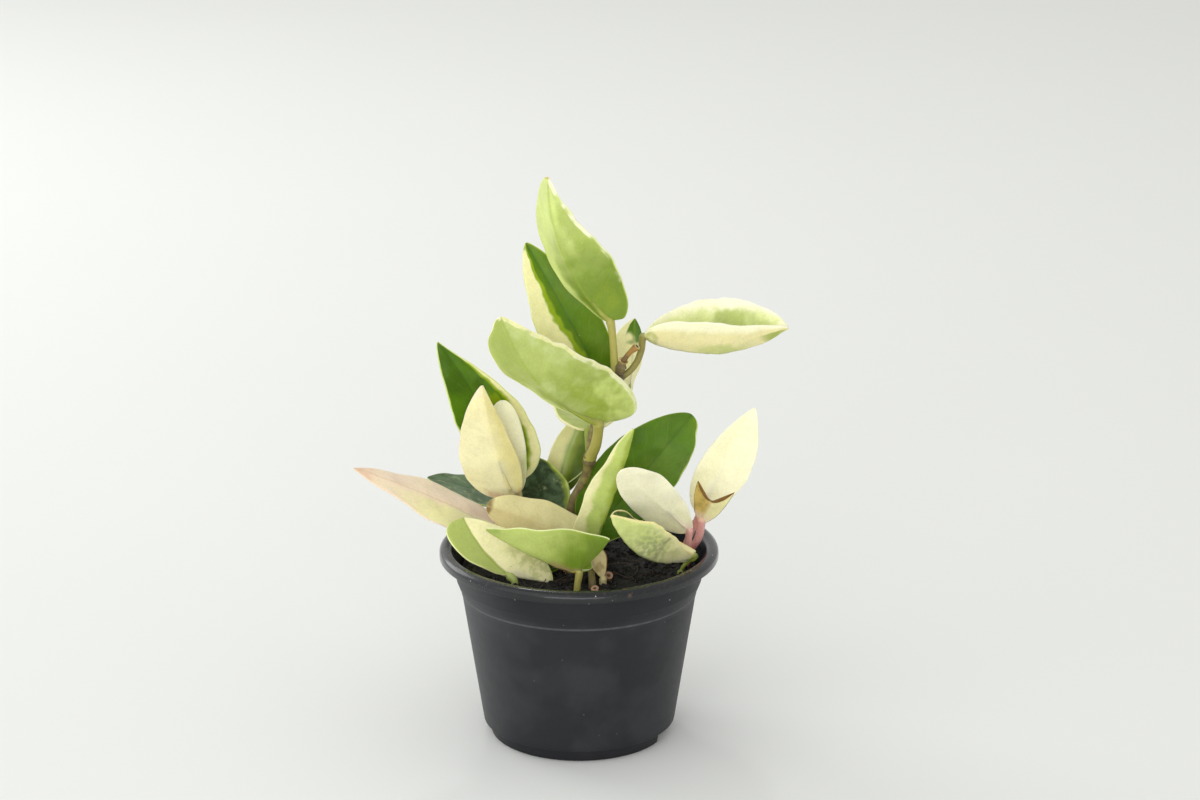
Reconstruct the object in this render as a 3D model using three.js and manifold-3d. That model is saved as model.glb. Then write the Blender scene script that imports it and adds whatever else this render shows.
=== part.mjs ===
// A young variegated hoya in its round nursery pot, in millimetres with +Z up.
// The origin is the middle of the pot's underside, and -Y is the front.
import * as THREE from 'three';
import { mergeVertices } from 'three/addons/utils/BufferGeometryUtils.js';
import Module from 'manifold-3d';

const wasm = await Module();
wasm.setup();

// ---- Driving dimensions ----
const potHeight = 74;
const lipRadius = 52.5;
const lipThickness = 4;
const collarRadius = 47.2;
const neckRadius = 44.4;
const neckHeight = 57;
const footRadius = 34.3;
const footHeight = 4.8;
const wall = 1;
const floorThickness = 1.6;
const drainAngles = [-15, 165];
const drainWidth = 16;
const drainHeight = 4.4;
const soilHeight = 65.5;
const soilRoughness = 0.9;
const seatGap = 0.3;
const rootGap = 0.45;
const rootDepth = 7;
const bladeThickness = 1.5;
const edgeThickness = 0.9;
const roundSegments = 48;

const at = (x, y, z) => new THREE.Vector3(x, y, z);
const rad = THREE.MathUtils.degToRad;

// ---- Solids: joining and cutting closed meshes ----
function solid(geometry) {
  const bare = geometry.clone();
  bare.deleteAttribute('normal');
  bare.deleteAttribute('uv');
  const merged = mergeVertices(bare, 1e-4);
  return new wasm.Manifold(new wasm.Mesh({
    numProp: 3,
    vertProperties: Float32Array.from(merged.attributes.position.array),
    triVerts: Uint32Array.from(merged.index.array),
  }));
}

function geometryOf(body) {
  const mesh = body.getMesh();
  const geometry = new THREE.BufferGeometry();
  geometry.setAttribute('position', new THREE.BufferAttribute(mesh.vertProperties, 3));
  geometry.setIndex(new THREE.BufferAttribute(mesh.triVerts, 1));
  geometry.computeVertexNormals();
  return geometry;
}

const joined = (bodies) => bodies.reduce((all, body) => all.add(body));

// ---- Round stems along a smooth curve ----
function stemTube(points, radius, sides = 8, stepLength = 6) {
  const path = new THREE.CatmullRomCurve3(points, false, 'centripetal');
  const ring = [];
  for (let i = 0; i < sides; i += 1) {
    const angle = (2 * Math.PI * i) / sides;
    ring.push(new THREE.Vector2(radius * Math.cos(angle), radius * Math.sin(angle)));
  }
  const steps = Math.max(2, Math.round(path.getLength() / stepLength));
  return solid(new THREE.ExtrudeGeometry(new THREE.Shape(ring), {
    steps, extrudePath: path, bevelEnabled: false,
  }));
}

function bead(center, radius) {
  const ball = new THREE.SphereGeometry(radius, 8, 6);
  ball.translate(center.x, center.y, center.z);
  return solid(ball);
}

// ---- Leaf blades ----
// A blade's middle surface has two parameters: along runs from 0 at the base to 1 at the tip, and
// across from -1 at the left margin to 1 at the right margin, seen from the base with the upper
// side facing the viewer. Where a value differs between the two halves, it is a [left, right] pair.
const leafDefaults = {
  arch: 0, bow: 0, sway: 0, twist: 0, fold: 15, curl: 0, lobe: 2, horn: 0,
  round: 0.5, point: 0.8, wave: 0.5, waves: 2.5, phase: 0, stalkRadius: 1.3,
};
const stations = [0, 0.006, 0.03, 0.09, 0.19, 0.32, 0.47, 0.63, 0.78, 0.91, 1];
const lobeStart = 0.004;
const spans = [-1, -0.62, -0.28, 0, 0.28, 0.62, 1];
const endHalfWidth = 0.5;
const stalkOverlap = 0.06;
// Within this distance of the rib, the thickness turns from the rib's direction to the blade's own.
const foldWidth = 3;
const leastCosine = 0.6;

const sideOf = (value, across) => (Array.isArray(value) ? value[across < 0 ? 0 : 1] : value);

// The share of the half-width at a station: 0 at both ends, 1 at the widest place.
function outline(along, round, point) {
  const widest = round / (round + point);
  return (along / widest) ** round * ((1 - along) / (1 - widest)) ** point;
}

// The blade's own directions at its base: c to the tip, n out of the upper side, s to the right.
function bladeAxes(leaf) {
  const chord = leaf.tip.clone().sub(leaf.base);
  const c = chord.clone().normalize();
  const n = leaf.faces.clone().addScaledVector(c, -leaf.faces.dot(c)).normalize();
  const s = c.clone().cross(n);
  return { chord, c, n, s };
}

function ribPoint(leaf, axes, along) {
  const hump = 4 * along * (1 - along);
  return leaf.base.clone()
    .addScaledVector(axes.chord, along)
    .addScaledVector(axes.n, leaf.arch * hump)
    .addScaledVector(axes.s, leaf.bow * hump + leaf.sway * Math.sin(2 * Math.PI * along));
}

// A point of the middle surface, and the direction that the blade's thickness is measured in.
function bladePoint(leaf, axes, along, across) {
  const side = Math.sign(across);
  const reach = Math.abs(across);
  const rib = ribPoint(leaf, axes, along);
  const ahead = ribPoint(leaf, axes, along + 1e-3).sub(ribPoint(leaf, axes, along - 1e-3)).normalize();
  const facing = axes.n.clone().addScaledVector(ahead, -axes.n.dot(ahead)).normalize();
  const sideways = ahead.clone().cross(facing);
  const turn = rad(leaf.twist) * along;
  const normal = facing.clone().multiplyScalar(Math.cos(turn)).addScaledVector(sideways, Math.sin(turn));
  const lateral = sideways.clone().multiplyScalar(Math.cos(turn)).addScaledVector(facing, -Math.sin(turn));

  const fold = rad(sideOf(leaf.fold, across));
  const curl = rad(sideOf(leaf.curl, across)) + 1e-6;
  const share = outline(along, sideOf(leaf.round, across), sideOf(leaf.point, across));
  const width = endHalfWidth + sideOf(leaf.half, across) * share;
  const out = (Math.sin(fold + curl * reach) - Math.sin(fold)) / curl;
  const rise = (Math.cos(fold) - Math.cos(fold + curl * reach)) / curl;
  const shift = across < 0 ? 0.5 : 0;
  const ripple = leaf.wave * reach ** 2 * Math.min(1, 6 * along * (1 - along))
    * Math.sin(2 * Math.PI * (leaf.waves * along + leaf.phase + shift));
  const lobe = sideOf(leaf.lobe, across) * (1 - Math.exp(-along / lobeStart)) * (1 - along) ** 4;
  const horn = sideOf(leaf.horn, across) * share * along ** 3;
  const back = lobe * reach - horn * reach ** 2;

  const point = rib.addScaledVector(lateral, side * width * out)
    .addScaledVector(normal, width * rise + ripple)
    .addScaledVector(ahead, -back);
  const tilt = fold + curl * reach;
  const lean = tilt * Math.min(1, (width * reach) / foldWidth);
  const through = normal.clone().multiplyScalar(Math.cos(lean))
    .addScaledVector(lateral, -side * Math.sin(lean))
    .divideScalar(Math.max(leastCosine, Math.cos(tilt - lean)));
  return { point, through };
}

// The blade as a closed body: the upper and the under side, split into triangles alike, and a rim.
function bladeSolid(leaf) {
  const axes = bladeAxes(leaf);
  const positions = [];
  const faces = [];
  const rows = stations.length;
  const columns = spans.length;
  for (const face of [1, -1]) {
    for (const along of stations) {
      for (const across of spans) {
        const { point, through } = bladePoint(leaf, axes, along, across);
        const thickness = THREE.MathUtils.lerp(bladeThickness, edgeThickness, Math.abs(across));
        point.addScaledVector(through, (face * thickness) / 2);
        positions.push(point.x, point.y, point.z);
      }
    }
  }
  const upper = (row, column) => row * columns + column;
  const under = (row, column) => rows * columns + row * columns + column;
  for (let row = 0; row < rows - 1; row += 1) {
    for (let column = 0; column < columns - 1; column += 1) {
      const corners = [[row, column], [row + 1, column], [row + 1, column + 1], [row, column + 1]];
      const [a, b, c, d] = corners.map(([r, k]) => upper(r, k));
      const [e, f, g, h] = corners.map(([r, k]) => under(r, k));
      faces.push(a, c, b, a, d, c);
      faces.push(e, f, g, e, g, h);
    }
  }
  const rim = [];
  for (let row = 0; row < rows - 1; row += 1) rim.push([row, 0]);
  for (let column = 0; column < columns - 1; column += 1) rim.push([rows - 1, column]);
  for (let row = rows - 1; row > 0; row -= 1) rim.push([row, columns - 1]);
  for (let column = columns - 1; column > 0; column -= 1) rim.push([0, column]);
  rim.forEach(([row, column], i) => {
    const [nextRow, nextColumn] = rim[(i + 1) % rim.length];
    const a = upper(row, column);
    const b = upper(nextRow, nextColumn);
    const c = under(row, column);
    const d = under(nextRow, nextColumn);
    faces.push(a, b, d, a, d, c);
  });
  const geometry = new THREE.BufferGeometry();
  geometry.setAttribute('position', new THREE.Float32BufferAttribute(positions, 3));
  geometry.setIndex(faces);
  return solid(geometry);
}

// ---- The main stem and the short left stem ----
const mainPath = [
  at(-5, 9, soilHeight - rootDepth), at(-5, 9, 70), at(-2, 8, 89), at(2, 7, 97), at(4, 5, 106),
  at(5, 5, 116), at(8, 5, 125), at(11, 4, 130), at(13, 1, 136), at(15, 0, 141),
];
const mainRadius = 1.9;
const mainJoints = [at(4, 5, 106), at(11, 4, 130), at(14.5, 0, 141)];
const jointRadius = 2.7;
const stubPath = [at(14.5, 0, 141), at(15.5, -2, 144.5), at(18.5, -3, 148.5), at(21.5, -3.5, 151.5)];
const stubRadius = 1.3;
const leftPath = [
  at(-19, 13, soilHeight - rootDepth), at(-19, 13, 70), at(-22, 14, 79), at(-23.5, 14, 86.5),
];
const leftRadius = 1.8;

// A stem's body, grown on all sides by a clearance when it is used to cut what meets it.
function mainStem(clearance = 0) {
  return joined([
    stemTube(mainPath, mainRadius + clearance),
    stemTube(stubPath, stubRadius + clearance),
    ...mainJoints.map((center) => bead(center, jointRadius + clearance)),
  ]);
}

function leftStem(clearance = 0) {
  return joined([
    stemTube(leftPath, leftRadius + clearance),
    bead(leftPath[leftPath.length - 1], jointRadius + clearance),
  ]);
}

// ---- The leaves ----
// stalk lists the points of the leaf's stalk from where it grows up to the blade's base. A stalk
// that grows from a stem starts on the stem's axis, and a rooted one starts down in the soil.
const rooted = (x, y) => [at(x, y, soilHeight - rootDepth), at(x, y, soilHeight + 2)];
const palette = {
  green: 0x3f7d22, dark: 0x2f5a3c, light: 0x9ab857, pale: 0xa9bd78, cream: 0xeee7c0,
  white: 0xf6f2d8, pink: 0xe6c2a4, beige: 0xd8cb9f, olive: 0x9a9255,
};
const leaves = {
  leaf_top: {
    base: at(11.5, -3, 162.5), tip: at(-11, -12, 219), faces: at(0.15, 0.95, 0.1), half: [14, 14],
    arch: -3, bow: 5, fold: [12, 42], twist: -15, lobe: [4, 1], round: [0.45, 0.6],
    point: [0.95, 0.6], wave: 0.7, stalk: [at(13.6, -0.4, 141)], colour: 'light',
  },
  leaf_top_behind: {
    base: at(10, 9, 133), tip: at(-19.5, 12, 188), faces: at(0.1, -0.9, 0.3), half: [13.5, 10.5],
    arch: 3, wave: 0.8, stalk: [at(11, 4, 130)], colour: 'green',
  },
  leaf_front_wide: {
    base: at(7, -4, 123.5), tip: at(-28, -20, 169), faces: at(0.05, 0.9, 0), half: [20.5, 12],
    arch: -4, bow: 5.2, fold: [8, 35], twist: -5, lobe: [14, 0], round: [0.35, 2.2],
    point: [0.8, 0.8], wave: 0.8, stalkRadius: 1.6, stalk: [at(4, 5, 106), at(6.5, 0, 114)],
    colour: 'pale',
  },
  leaf_right_boat: {
    base: at(24, 0, 155.8), tip: at(77, -6, 160.8), faces: at(0, 0, 1), half: [20.2, 15],
    arch: -7, fold: [48, 45], curl: 35, point: [0.5, 0.8], lobe: 0, wave: 0.3,
    stalkRadius: 1.4,
    stalk: [at(15.6, 0, 140.5), at(18, 0.2, 145), at(21, 0.2, 151.5)], colour: 'cream',
  },
  leaf_cream_back: {
    base: at(18, 13, 129.5), tip: at(21, 30, 153.5), faces: at(-0.7, 0.6, 0.2), half: [9, 9],
    fold: 25, twist: -40, stalk: [at(11, 4, 130)], colour: 'cream',
  },
  leaf_pointing_back: {
    base: at(3.5, 10, 116), tip: at(3.5, 55, 121.5), faces: at(0, -0.3, 0.95), half: [13.5, 13.5],
    fold: 12, stalk: [at(4, 5, 106), at(3.6, 7, 112)], colour: 'pale',
  },
  leaf_behind_stem: {
    base: at(-8.5, 37, 83), tip: at(2, 45, 111.5), faces: at(0, -0.9, 0.4), half: [6.3, 8],
    bow: -1, stalk: [at(3, 6.5, 102), at(-2, 20, 93)], colour: 'pale',
  },
  leaf_left_tall: {
    base: at(-28.5, 23, 91.5), tip: at(-53, 19, 147.5), faces: at(0.1, -0.9, 0.4), half: [11.5, 16],
    arch: 2, bow: 3.4, round: [0.5, 0.4], point: [0.8, 1.3], wave: 0.8,
    stalk: [at(-23.5, 14, 86.5), at(-28, 18.5, 88)], colour: 'green',
  },
  leaf_left_cream: {
    base: at(-25.5, 10.5, 90.6), tip: at(-36, 4, 135.2), faces: at(0.1, 0.95, 0), half: [6.6, 15],
    arch: -2, bow: 1, fold: [22, 10], round: 0.4, point: 0.75, stalk: [at(-23.5, 14, 86.5)],
    colour: 'cream',
  },
  leaf_left_white: {
    base: at(-23.6, 16, 90.8), tip: at(-29.3, 13.5, 126.3), faces: at(0.25, -0.95, 0.1), half: [7, 7],
    bow: 0.3, fold: 30, point: 0.45, wave: 0.3, stalk: [at(-23.2, 14, 86), at(-22.8, 15.5, 87.8)],
    colour: 'white',
  },
  leaf_left_flat: {
    base: at(-22, 36, 77), tip: at(-58.5, 34.5, 88.4), faces: at(0, -0.1, 0.98), half: [12, 12],
    fold: 4, stalk: [at(-21, 13.8, 76), at(-21.5, 24, 75)], colour: 'dark',
  },
  leaf_pink: {
    base: at(-30, 12, 75), tip: at(-84, 0, 104), faces: at(0, -0.3, 0.95), half: [12, 12],
    bow: 2, fold: -6, point: 1, stalk: [at(-20, 13.3, 72.5)], colour: 'pink',
  },
  leaf_mottled_middle: {
    base: at(-12.5, 10, 78), tip: at(-18, 34, 97), faces: at(0.05, -0.8, 0.5), half: [10, 10],
    bow: 1, fold: 10, stalk: [at(-19.5, 13.2, 73)], colour: 'dark',
  },
  leaf_beige: {
    base: at(6, -3, 75.2), tip: at(-34.5, -3.2, 90.2), faces: at(0, -0.6, 0.8), half: [9, 9.8],
    fold: 5, round: 0.45, point: 0.5, stalk: rooted(8, -5), colour: 'beige',
  },
  leaf_over_lip: {
    base: at(-26, -21, 69.2), tip: at(-43, -9.5, 87.8), faces: at(0.2, -0.75, 0.6), half: [9, 14.5],
    bow: -2, fold: [20, 5], twist: -10, lobe: [0, 16], round: [1, 0.3], point: [0.3, 0.8],
    stalk: rooted(-24, -21.5), colour: 'cream',
  },
  leaf_middle_upright: {
    base: at(4, -11.5, 75), tip: at(20, -27.5, 128.5), faces: at(-0.67, 0.74, 0), half: [10, 9.3],
    bow: -1, fold: 42, round: 0.35, stalk: [...rooted(5, -23), at(4.5, -16, 70)], colour: 'light',
  },
  leaf_front_folded: {
    base: at(0, -28, 73.5), tip: at(-34, -20, 87.5), faces: at(0, 0.22, 0.97), half: [15, 11],
    arch: -1, fold: [65, 42], lobe: [6, 5], round: [0.06, 0.5], point: [1, 1.25], stalk: rooted(-0.5, -28.5),
    colour: 'light',
  },
  leaf_low_dark: {
    base: at(-8, -7.5, 69), tip: at(-21, -3.5, 73.5), faces: at(0, -0.3, 0.95), half: [8, 8],
    fold: 5, stalk: rooted(-5, -8), colour: 'dark',
  },
  leaf_dark_wide: {
    base: at(5, 6, 76), tip: at(42.5, 16, 120), faces: at(0.1, -0.9, 0.35), half: [16.5, 12],
    arch: 2, fold: 10, round: 0.45, point: [0.7, 0.5], stalk: rooted(9, 2.5),
    colour: 'green',
  },
  leaf_cream_spoon: {
    base: at(41, -6, 82.5), tip: at(15.5, -30, 113.5), faces: at(-0.3, 0.7, 0.6),
    half: [8.7, 8.7], fold: 10, round: [1.3, 0.6], point: [0.45, 0.55], stalk: rooted(40.5, -1),
    colour: 'white',
  },
  leaf_right_mottled: {
    base: at(43.2, -9.5, 72.9), tip: at(12, -34, 97.5), faces: at(0.1, 0.1, 0.97),
    half: [12.5, 10], arch: -7, fold: [62, 50], round: 0.7, point: [0.9, 0.5], lobe: [3, 2],
    stalk: rooted(38.5, -9.5), colour: 'pale',
  },
  leaf_right_white: {
    base: at(46.2, 4.5, 86.5), tip: at(66, 10, 124.5), faces: at(-0.1, -0.9, 0.3),
    half: [9, 10.5], fold: 12, wave: 0.4, round: [0.5, 0.8], stalkRadius: 1.4,
    stalk: [...rooted(39.5, 9), at(42.3, 7, 76)], colour: 'white',
  },
  leaf_stump: {
    base: at(46, -3.5, 85.5), tip: at(49, -9, 94.5), faces: at(0, -0.8, 0.5), half: [6.9, 6.5],
    fold: [12, 10], point: 0.01, round: 0.6, horn: [7.5, 12.3], wave: 0.2, stalkRadius: 1.8,
    stalk: [...rooted(41, 4.5), at(45, 1.5, 76)], colour: 'olive',
  },
  leaf_scrap: {
    base: at(9, -20.5, 68), tip: at(6, -18.5, 78.5), faces: at(0, -0.9, 0.3), half: [3.2, 3.2],
    fold: 5, wave: 0, lobe: 0, round: 0.9, point: 0.35, stalk: rooted(9, -20.5), colour: 'beige',
  },
};

// A stalk's tube has six sides and a step every 7 mm.
const stalkMesh = [6, 7];

// The stalk ends a little inside the blade, along its rib.
function stalkPath(leaf) {
  return [...leaf.stalk, leaf.base, ribPoint(leaf, bladeAxes(leaf), stalkOverlap)];
}

function leafSolid(leaf) {
  return bladeSolid(leaf).add(stemTube(stalkPath(leaf), leaf.stalkRadius, ...stalkMesh));
}

// Cut shoots that stand a little out of the soil.
const stubs = {
  stub_round: {
    path: [at(10.5, -14.5, soilHeight - 3), at(10.8, -15.6, 66), at(11.1, -17, 68)], radius: 1.7,
  },
  stub_low: {
    path: [at(6.2, -28.4, soilHeight - 3), at(6.2, -28.8, 66), at(6, -29.4, 67.6)], radius: 1.5,
  },
};

// ---- Pot ----
// The shell is turned from one closed profile: foot, ledge, wall, collar, lip, and back inside.
function potSolid() {
  const ledge = footRadius + 2;
  const lipUnder = potHeight - lipThickness;
  const profile = [
    [0, 0], [footRadius - 0.7, 0], [footRadius, footHeight], [ledge, footHeight],
    [neckRadius, neckHeight], [neckRadius + 1.7, neckHeight + 4], [collarRadius, lipUnder - 1],
    [collarRadius + 0.4, lipUnder + 2.2], [lipRadius - 1.3, lipUnder + 1.8],
    [lipRadius - 1, lipUnder], [lipRadius, lipUnder], [lipRadius, potHeight - 2],
    [lipRadius - 1, potHeight - 0.5], [lipRadius - 3.5, potHeight], [lipRadius - 4.5, potHeight - 1],
    [collarRadius - wall + 0.2, lipUnder], [neckRadius + 1.7 - wall, neckHeight + 4.2],
    [neckRadius - wall, neckHeight + 0.3], [ledge - wall, footHeight + 1],
    [footRadius - 1.6, floorThickness], [0, floorThickness],
  ].map(([r, z]) => new THREE.Vector2(r, z));
  const shell = new THREE.LatheGeometry(profile, roundSegments);
  shell.rotateX(Math.PI / 2);
  let body = solid(shell);
  for (const angle of drainAngles) {
    const drain = new THREE.BoxGeometry(10, drainWidth, 2 * drainHeight);
    drain.translate(footRadius, 0, 0);
    drain.rotateZ(rad(angle));
    body = body.subtract(solid(drain));
  }
  return body;
}

// ---- Soil ----
// It fills the pot to a rough surface, and each stem and rooted stalk stands in a plain hole in it.
function soilBump(x, y) {
  const across = Math.sin(0.42 * x + 0.3 * y);
  const along = Math.sin(0.37 * y - 0.23 * x + 1);
  return (soilRoughness * (across + along)) / 2;
}

function soilSolid(holes) {
  const bottom = floorThickness + seatGap;
  const radiusAt = (z) => THREE.MathUtils.lerp(footRadius + 2 - wall, neckRadius - wall,
    (z - footHeight - 1) / (neckHeight - footHeight - 0.7)) - seatGap - 0.1;
  const topRadius = collarRadius - wall - 1.6;
  const profile = [
    [0, bottom], [footRadius - 2.4, bottom], [radiusAt(footHeight + 2), footHeight + 2],
    [radiusAt(neckHeight), neckHeight], [topRadius, neckHeight + 5.5], [topRadius, soilHeight - 1.5],
    [topRadius - 3, soilHeight], [30, soilHeight], [20, soilHeight], [10, soilHeight], [0, soilHeight],
  ].map(([r, z]) => new THREE.Vector2(r, z));
  const fill = new THREE.LatheGeometry(profile, 40);
  fill.rotateX(Math.PI / 2);
  const place = fill.attributes.position;
  for (let i = 0; i < place.count; i += 1) {
    if (place.getZ(i) > soilHeight - 2) {
      place.setZ(i, place.getZ(i) + soilBump(place.getX(i), place.getY(i)));
    }
  }
  return holes.reduce((body, hole) => body.subtract(hole), solid(fill));
}

// A hole follows its stalk's path, a little wider and a little deeper.
function rootHole(points, radius, sides, stepLength) {
  const deeper = points[0].clone().setZ(points[0].z - seatGap);
  return stemTube([deeper, ...points.slice(1)], radius + rootGap, sides, stepLength);
}

// ---- Putting the plant together ----
const plant = new THREE.Group();

function addPart(name, body, color, roughness) {
  const material = new THREE.MeshStandardMaterial({ color, roughness, metalness: 0 });
  const mesh = new THREE.Mesh(geometryOf(body), material);
  mesh.name = name;
  plant.add(mesh);
}

const clearances = joined([mainStem(seatGap), leftStem(seatGap)]);
const holes = [rootHole(mainPath, mainRadius), rootHole(leftPath, leftRadius)];

for (const name of Object.keys(leaves)) {
  const leaf = { ...leafDefaults, ...leaves[name] };
  addPart(name, leafSolid(leaf).subtract(clearances), palette[leaf.colour], 0.45);
  if (leaf.stalk[0].z < soilHeight) {
    holes.push(rootHole(stalkPath(leaf), leaf.stalkRadius, ...stalkMesh));
  }
}
for (const [name, { path, radius }] of Object.entries(stubs)) {
  addPart(name, stemTube(path, radius), 0xc9b28c, 0.6);
  holes.push(rootHole(path, radius));
}
addPart('stem_main', mainStem(), 0x8a6a48, 0.7);
addPart('stem_left', leftStem(), 0x8a6a48, 0.7);
addPart('soil', soilSolid(holes), 0x2a211b, 0.95);
addPart('pot', potSolid(), 0x34373a, 0.4);

export default plant;
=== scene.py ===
"""A young variegated hoya in its round nursery pot, standing on a pale floor.

Every piece is a surface worked out with numpy, in millimetres with +Z up and the front at -Y, and
is turned into metres when its mesh is made. The leaves follow one formula, so a leaf is a row of
sizes and a list of coloured patches.
"""

import math
from dataclasses import dataclass

import bpy
import numpy as np
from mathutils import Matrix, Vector


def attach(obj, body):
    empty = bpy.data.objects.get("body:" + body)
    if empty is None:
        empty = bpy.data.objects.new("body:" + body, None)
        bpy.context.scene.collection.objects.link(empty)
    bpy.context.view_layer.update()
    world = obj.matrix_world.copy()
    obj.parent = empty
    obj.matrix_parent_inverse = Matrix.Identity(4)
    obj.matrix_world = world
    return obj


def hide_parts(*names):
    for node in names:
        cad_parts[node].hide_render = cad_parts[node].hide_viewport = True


bl_info = {
    "name": "Potted hoya",
    "version": (1, 0, 0),
    "blender": (4, 5, 0),
    "location": "View3D > Sidebar > Hoya",
    "description": "Builds a variegated hoya in a nursery pot from sizes and coloured patches",
    "category": "Add Mesh",
}

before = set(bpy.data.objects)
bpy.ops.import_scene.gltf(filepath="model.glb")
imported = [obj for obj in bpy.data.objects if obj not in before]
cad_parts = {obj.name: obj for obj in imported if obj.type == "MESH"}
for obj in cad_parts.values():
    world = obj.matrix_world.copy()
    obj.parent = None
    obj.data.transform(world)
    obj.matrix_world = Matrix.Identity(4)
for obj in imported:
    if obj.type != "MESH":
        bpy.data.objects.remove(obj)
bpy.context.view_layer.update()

MM = 0.001  # the metres in a millimetre
SEED = 11
ROOT_HEIGHT = 58.5  # the lower end of what stands in the soil
STALK_SIDES = 20


# ---- Small vector sums ----

def unit(vectors):
    """Each vector divided by its own length."""
    return vectors / np.linalg.norm(vectors, axis=-1, keepdims=True)


def ease(low, high, values):
    """0 below low, 1 above high, and three squares less two cubes of the share in between."""
    share = np.clip((values - low) / (high - low), 0, 1)
    return share * share * (3 - 2 * share)


def waviness(points, size, seed, waves=14):
    """The mean of some sine waves that cross in random directions, each about size millimetres long."""
    random = np.random.default_rng(seed)
    directions = unit(random.normal(size=(3, waves)).T).T
    lengths = size * random.uniform(0.6, 1.6, waves)
    phases = random.uniform(0, 2 * np.pi, waves)
    return np.sin(2 * np.pi * (points @ directions) / lengths + phases).mean(-1) * 2


def grid(rows, columns):
    """A tube's two parameters at each of its points: along it from 0 to 1, and round it from 0."""
    along = np.linspace(0, 1, rows)[:, None] + np.zeros((1, columns))
    return along, np.linspace(0, 1, columns, endpoint=False)[None, :] + 0 * along


def smooth_curve(points, count):
    """A centripetal Catmull-Rom curve through the points, at count places an equal length apart.

    Between two points it is the cubic that meets both, with the slopes that the points before and
    after give when time runs as the square root of the distance.
    """
    knots = np.asarray(points, float)
    before = 2 * knots[0] - knots[1]
    after = 2 * knots[-1] - knots[-2]
    padded = np.vstack([before, knots, after])
    place = np.linspace(0, len(knots) - 1, 40 * len(knots))
    first = np.minimum(place.astype(int), len(knots) - 2)
    share = (place - first)[:, None]
    p0, p1, p2, p3 = (padded[first + i] for i in range(4))
    d0, d1, d2 = (np.sqrt(np.linalg.norm(b - a, axis=1))[:, None]
                  for a, b in ((p0, p1), (p1, p2), (p2, p3)))
    slope1 = ((p1 - p0) / d0 - (p2 - p0) / (d0 + d1) + (p2 - p1) / d1) * d1
    slope2 = ((p2 - p1) / d1 - (p3 - p1) / (d1 + d2) + (p3 - p2) / d2) * d1
    fine = (p1 + slope1 * share
            + (3 * (p2 - p1) - 2 * slope1 - slope2) * share ** 2
            + (2 * (p1 - p2) + slope1 + slope2) * share ** 3)
    run = np.concatenate([[0], np.cumsum(np.linalg.norm(np.diff(fine, axis=0), axis=1))])
    even = np.linspace(0, run[-1], count)
    return np.stack([np.interp(even, run, fine[:, axis]) for axis in range(3)], 1)


# ---- Meshes ----

class Shell:
    """Closed tubes of rings gathered into one mesh, with values for each point and a slot for each face."""

    def __init__(self):
        self.points = []
        self.quads = []
        self.triangles = []
        self.slots = []
        self.values = {}
        self.count = 0

    def add(self, rings, values=None, slot=0):
        """Adds rings (rows x columns x 3), with each end closed by a fan to the middle of its ring.

        The columns run right-handed about the direction of the rows, so the faces point outwards.
        """
        rows, columns = rings.shape[:2]
        row = np.arange(rows - 1)[:, None] * columns + self.count
        column = np.arange(columns)[None, :]
        beside = (column + 1) % columns
        quads = np.stack([row + column, row + beside, row + columns + beside, row + columns + column], -1)
        start = self.count + rows * columns
        low = np.stack([column[0] + self.count, np.full(columns, start), beside[0] + self.count], -1)
        last = self.count + (rows - 1) * columns
        high = np.stack([column[0] + last, beside[0] + last, np.full(columns, start + 1)], -1)
        ends = np.stack([rings[0].mean(0), rings[-1].mean(0)])
        self.points.append(np.vstack([rings.reshape(-1, 3), ends]))
        self.quads.append(quads.reshape(-1, 4))
        self.triangles.append(np.vstack([low, high]))
        self.slots.append((slot, rows, columns))
        for name, value in (values or {}).items():
            full = np.broadcast_to(value, (rows, columns))
            spread = np.concatenate([full.ravel(), [full[0].mean(), full[-1].mean()]])
            self.values.setdefault(name, []).append(spread)
        self.count = start + 2

    def make(self, name, materials):
        """The finished object, in metres, smooth, with u and v as its UV map and the rest as attributes."""
        points = np.vstack(self.points) * MM
        quads = np.vstack(self.quads)
        triangles = np.vstack(self.triangles)
        mesh = bpy.data.meshes.new(name)
        mesh.from_pydata(points, [], quads.tolist() + triangles.tolist())
        slots = [np.full(rows * columns - columns, slot) for slot, rows, columns in self.slots]
        slots += [np.full(2 * columns, slot) for slot, rows, columns in self.slots]
        for material in materials:
            mesh.materials.append(material)
        mesh.polygons.foreach_set("material_index", np.concatenate(slots).astype(np.int32))
        mesh.polygons.foreach_set("use_smooth", np.ones(len(mesh.polygons), bool))
        values = {key: np.concatenate(parts) for key, parts in self.values.items()}
        if "u" in values:
            corner = np.zeros(len(mesh.loops), np.int32)
            mesh.loops.foreach_get("vertex_index", corner)
            spot = np.stack([values.pop("u")[corner], values.pop("v")[corner]], 1)
            mesh.uv_layers.new(name="UVMap").data.foreach_set("uv", spot.astype(np.float32).ravel())
        for key, value in values.items():
            attribute = mesh.attributes.new(key, "FLOAT", "POINT")
            attribute.data.foreach_set("value", value.astype(np.float32))
        mesh.validate()
        piece = bpy.data.objects.new(name, mesh)
        bpy.context.scene.collection.objects.link(piece)
        return piece


def tube(path, radius, sides=20, tangents=None):
    """Rings round a path: each point is the path plus the radius times a turning unit vector.

    The radius is one number, one for each place, or one for each place and side.
    """
    along = unit(np.gradient(path, axis=0)) if tangents is None else tangents
    steady = np.eye(3)[np.argmin(np.abs(along.mean(0)))]
    side = unit(np.cross(steady, along))
    other = np.cross(along, side)
    turn = np.linspace(0, 2 * np.pi, sides, endpoint=False)[None, :, None]
    reach = np.asarray(radius, float)
    reach = np.broadcast_to(reach[:, None] if reach.ndim == 1 else reach, (len(path), sides))
    around = np.cos(turn) * side[:, None] + np.sin(turn) * other[:, None]
    return path[:, None] + reach[..., None] * around


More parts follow.
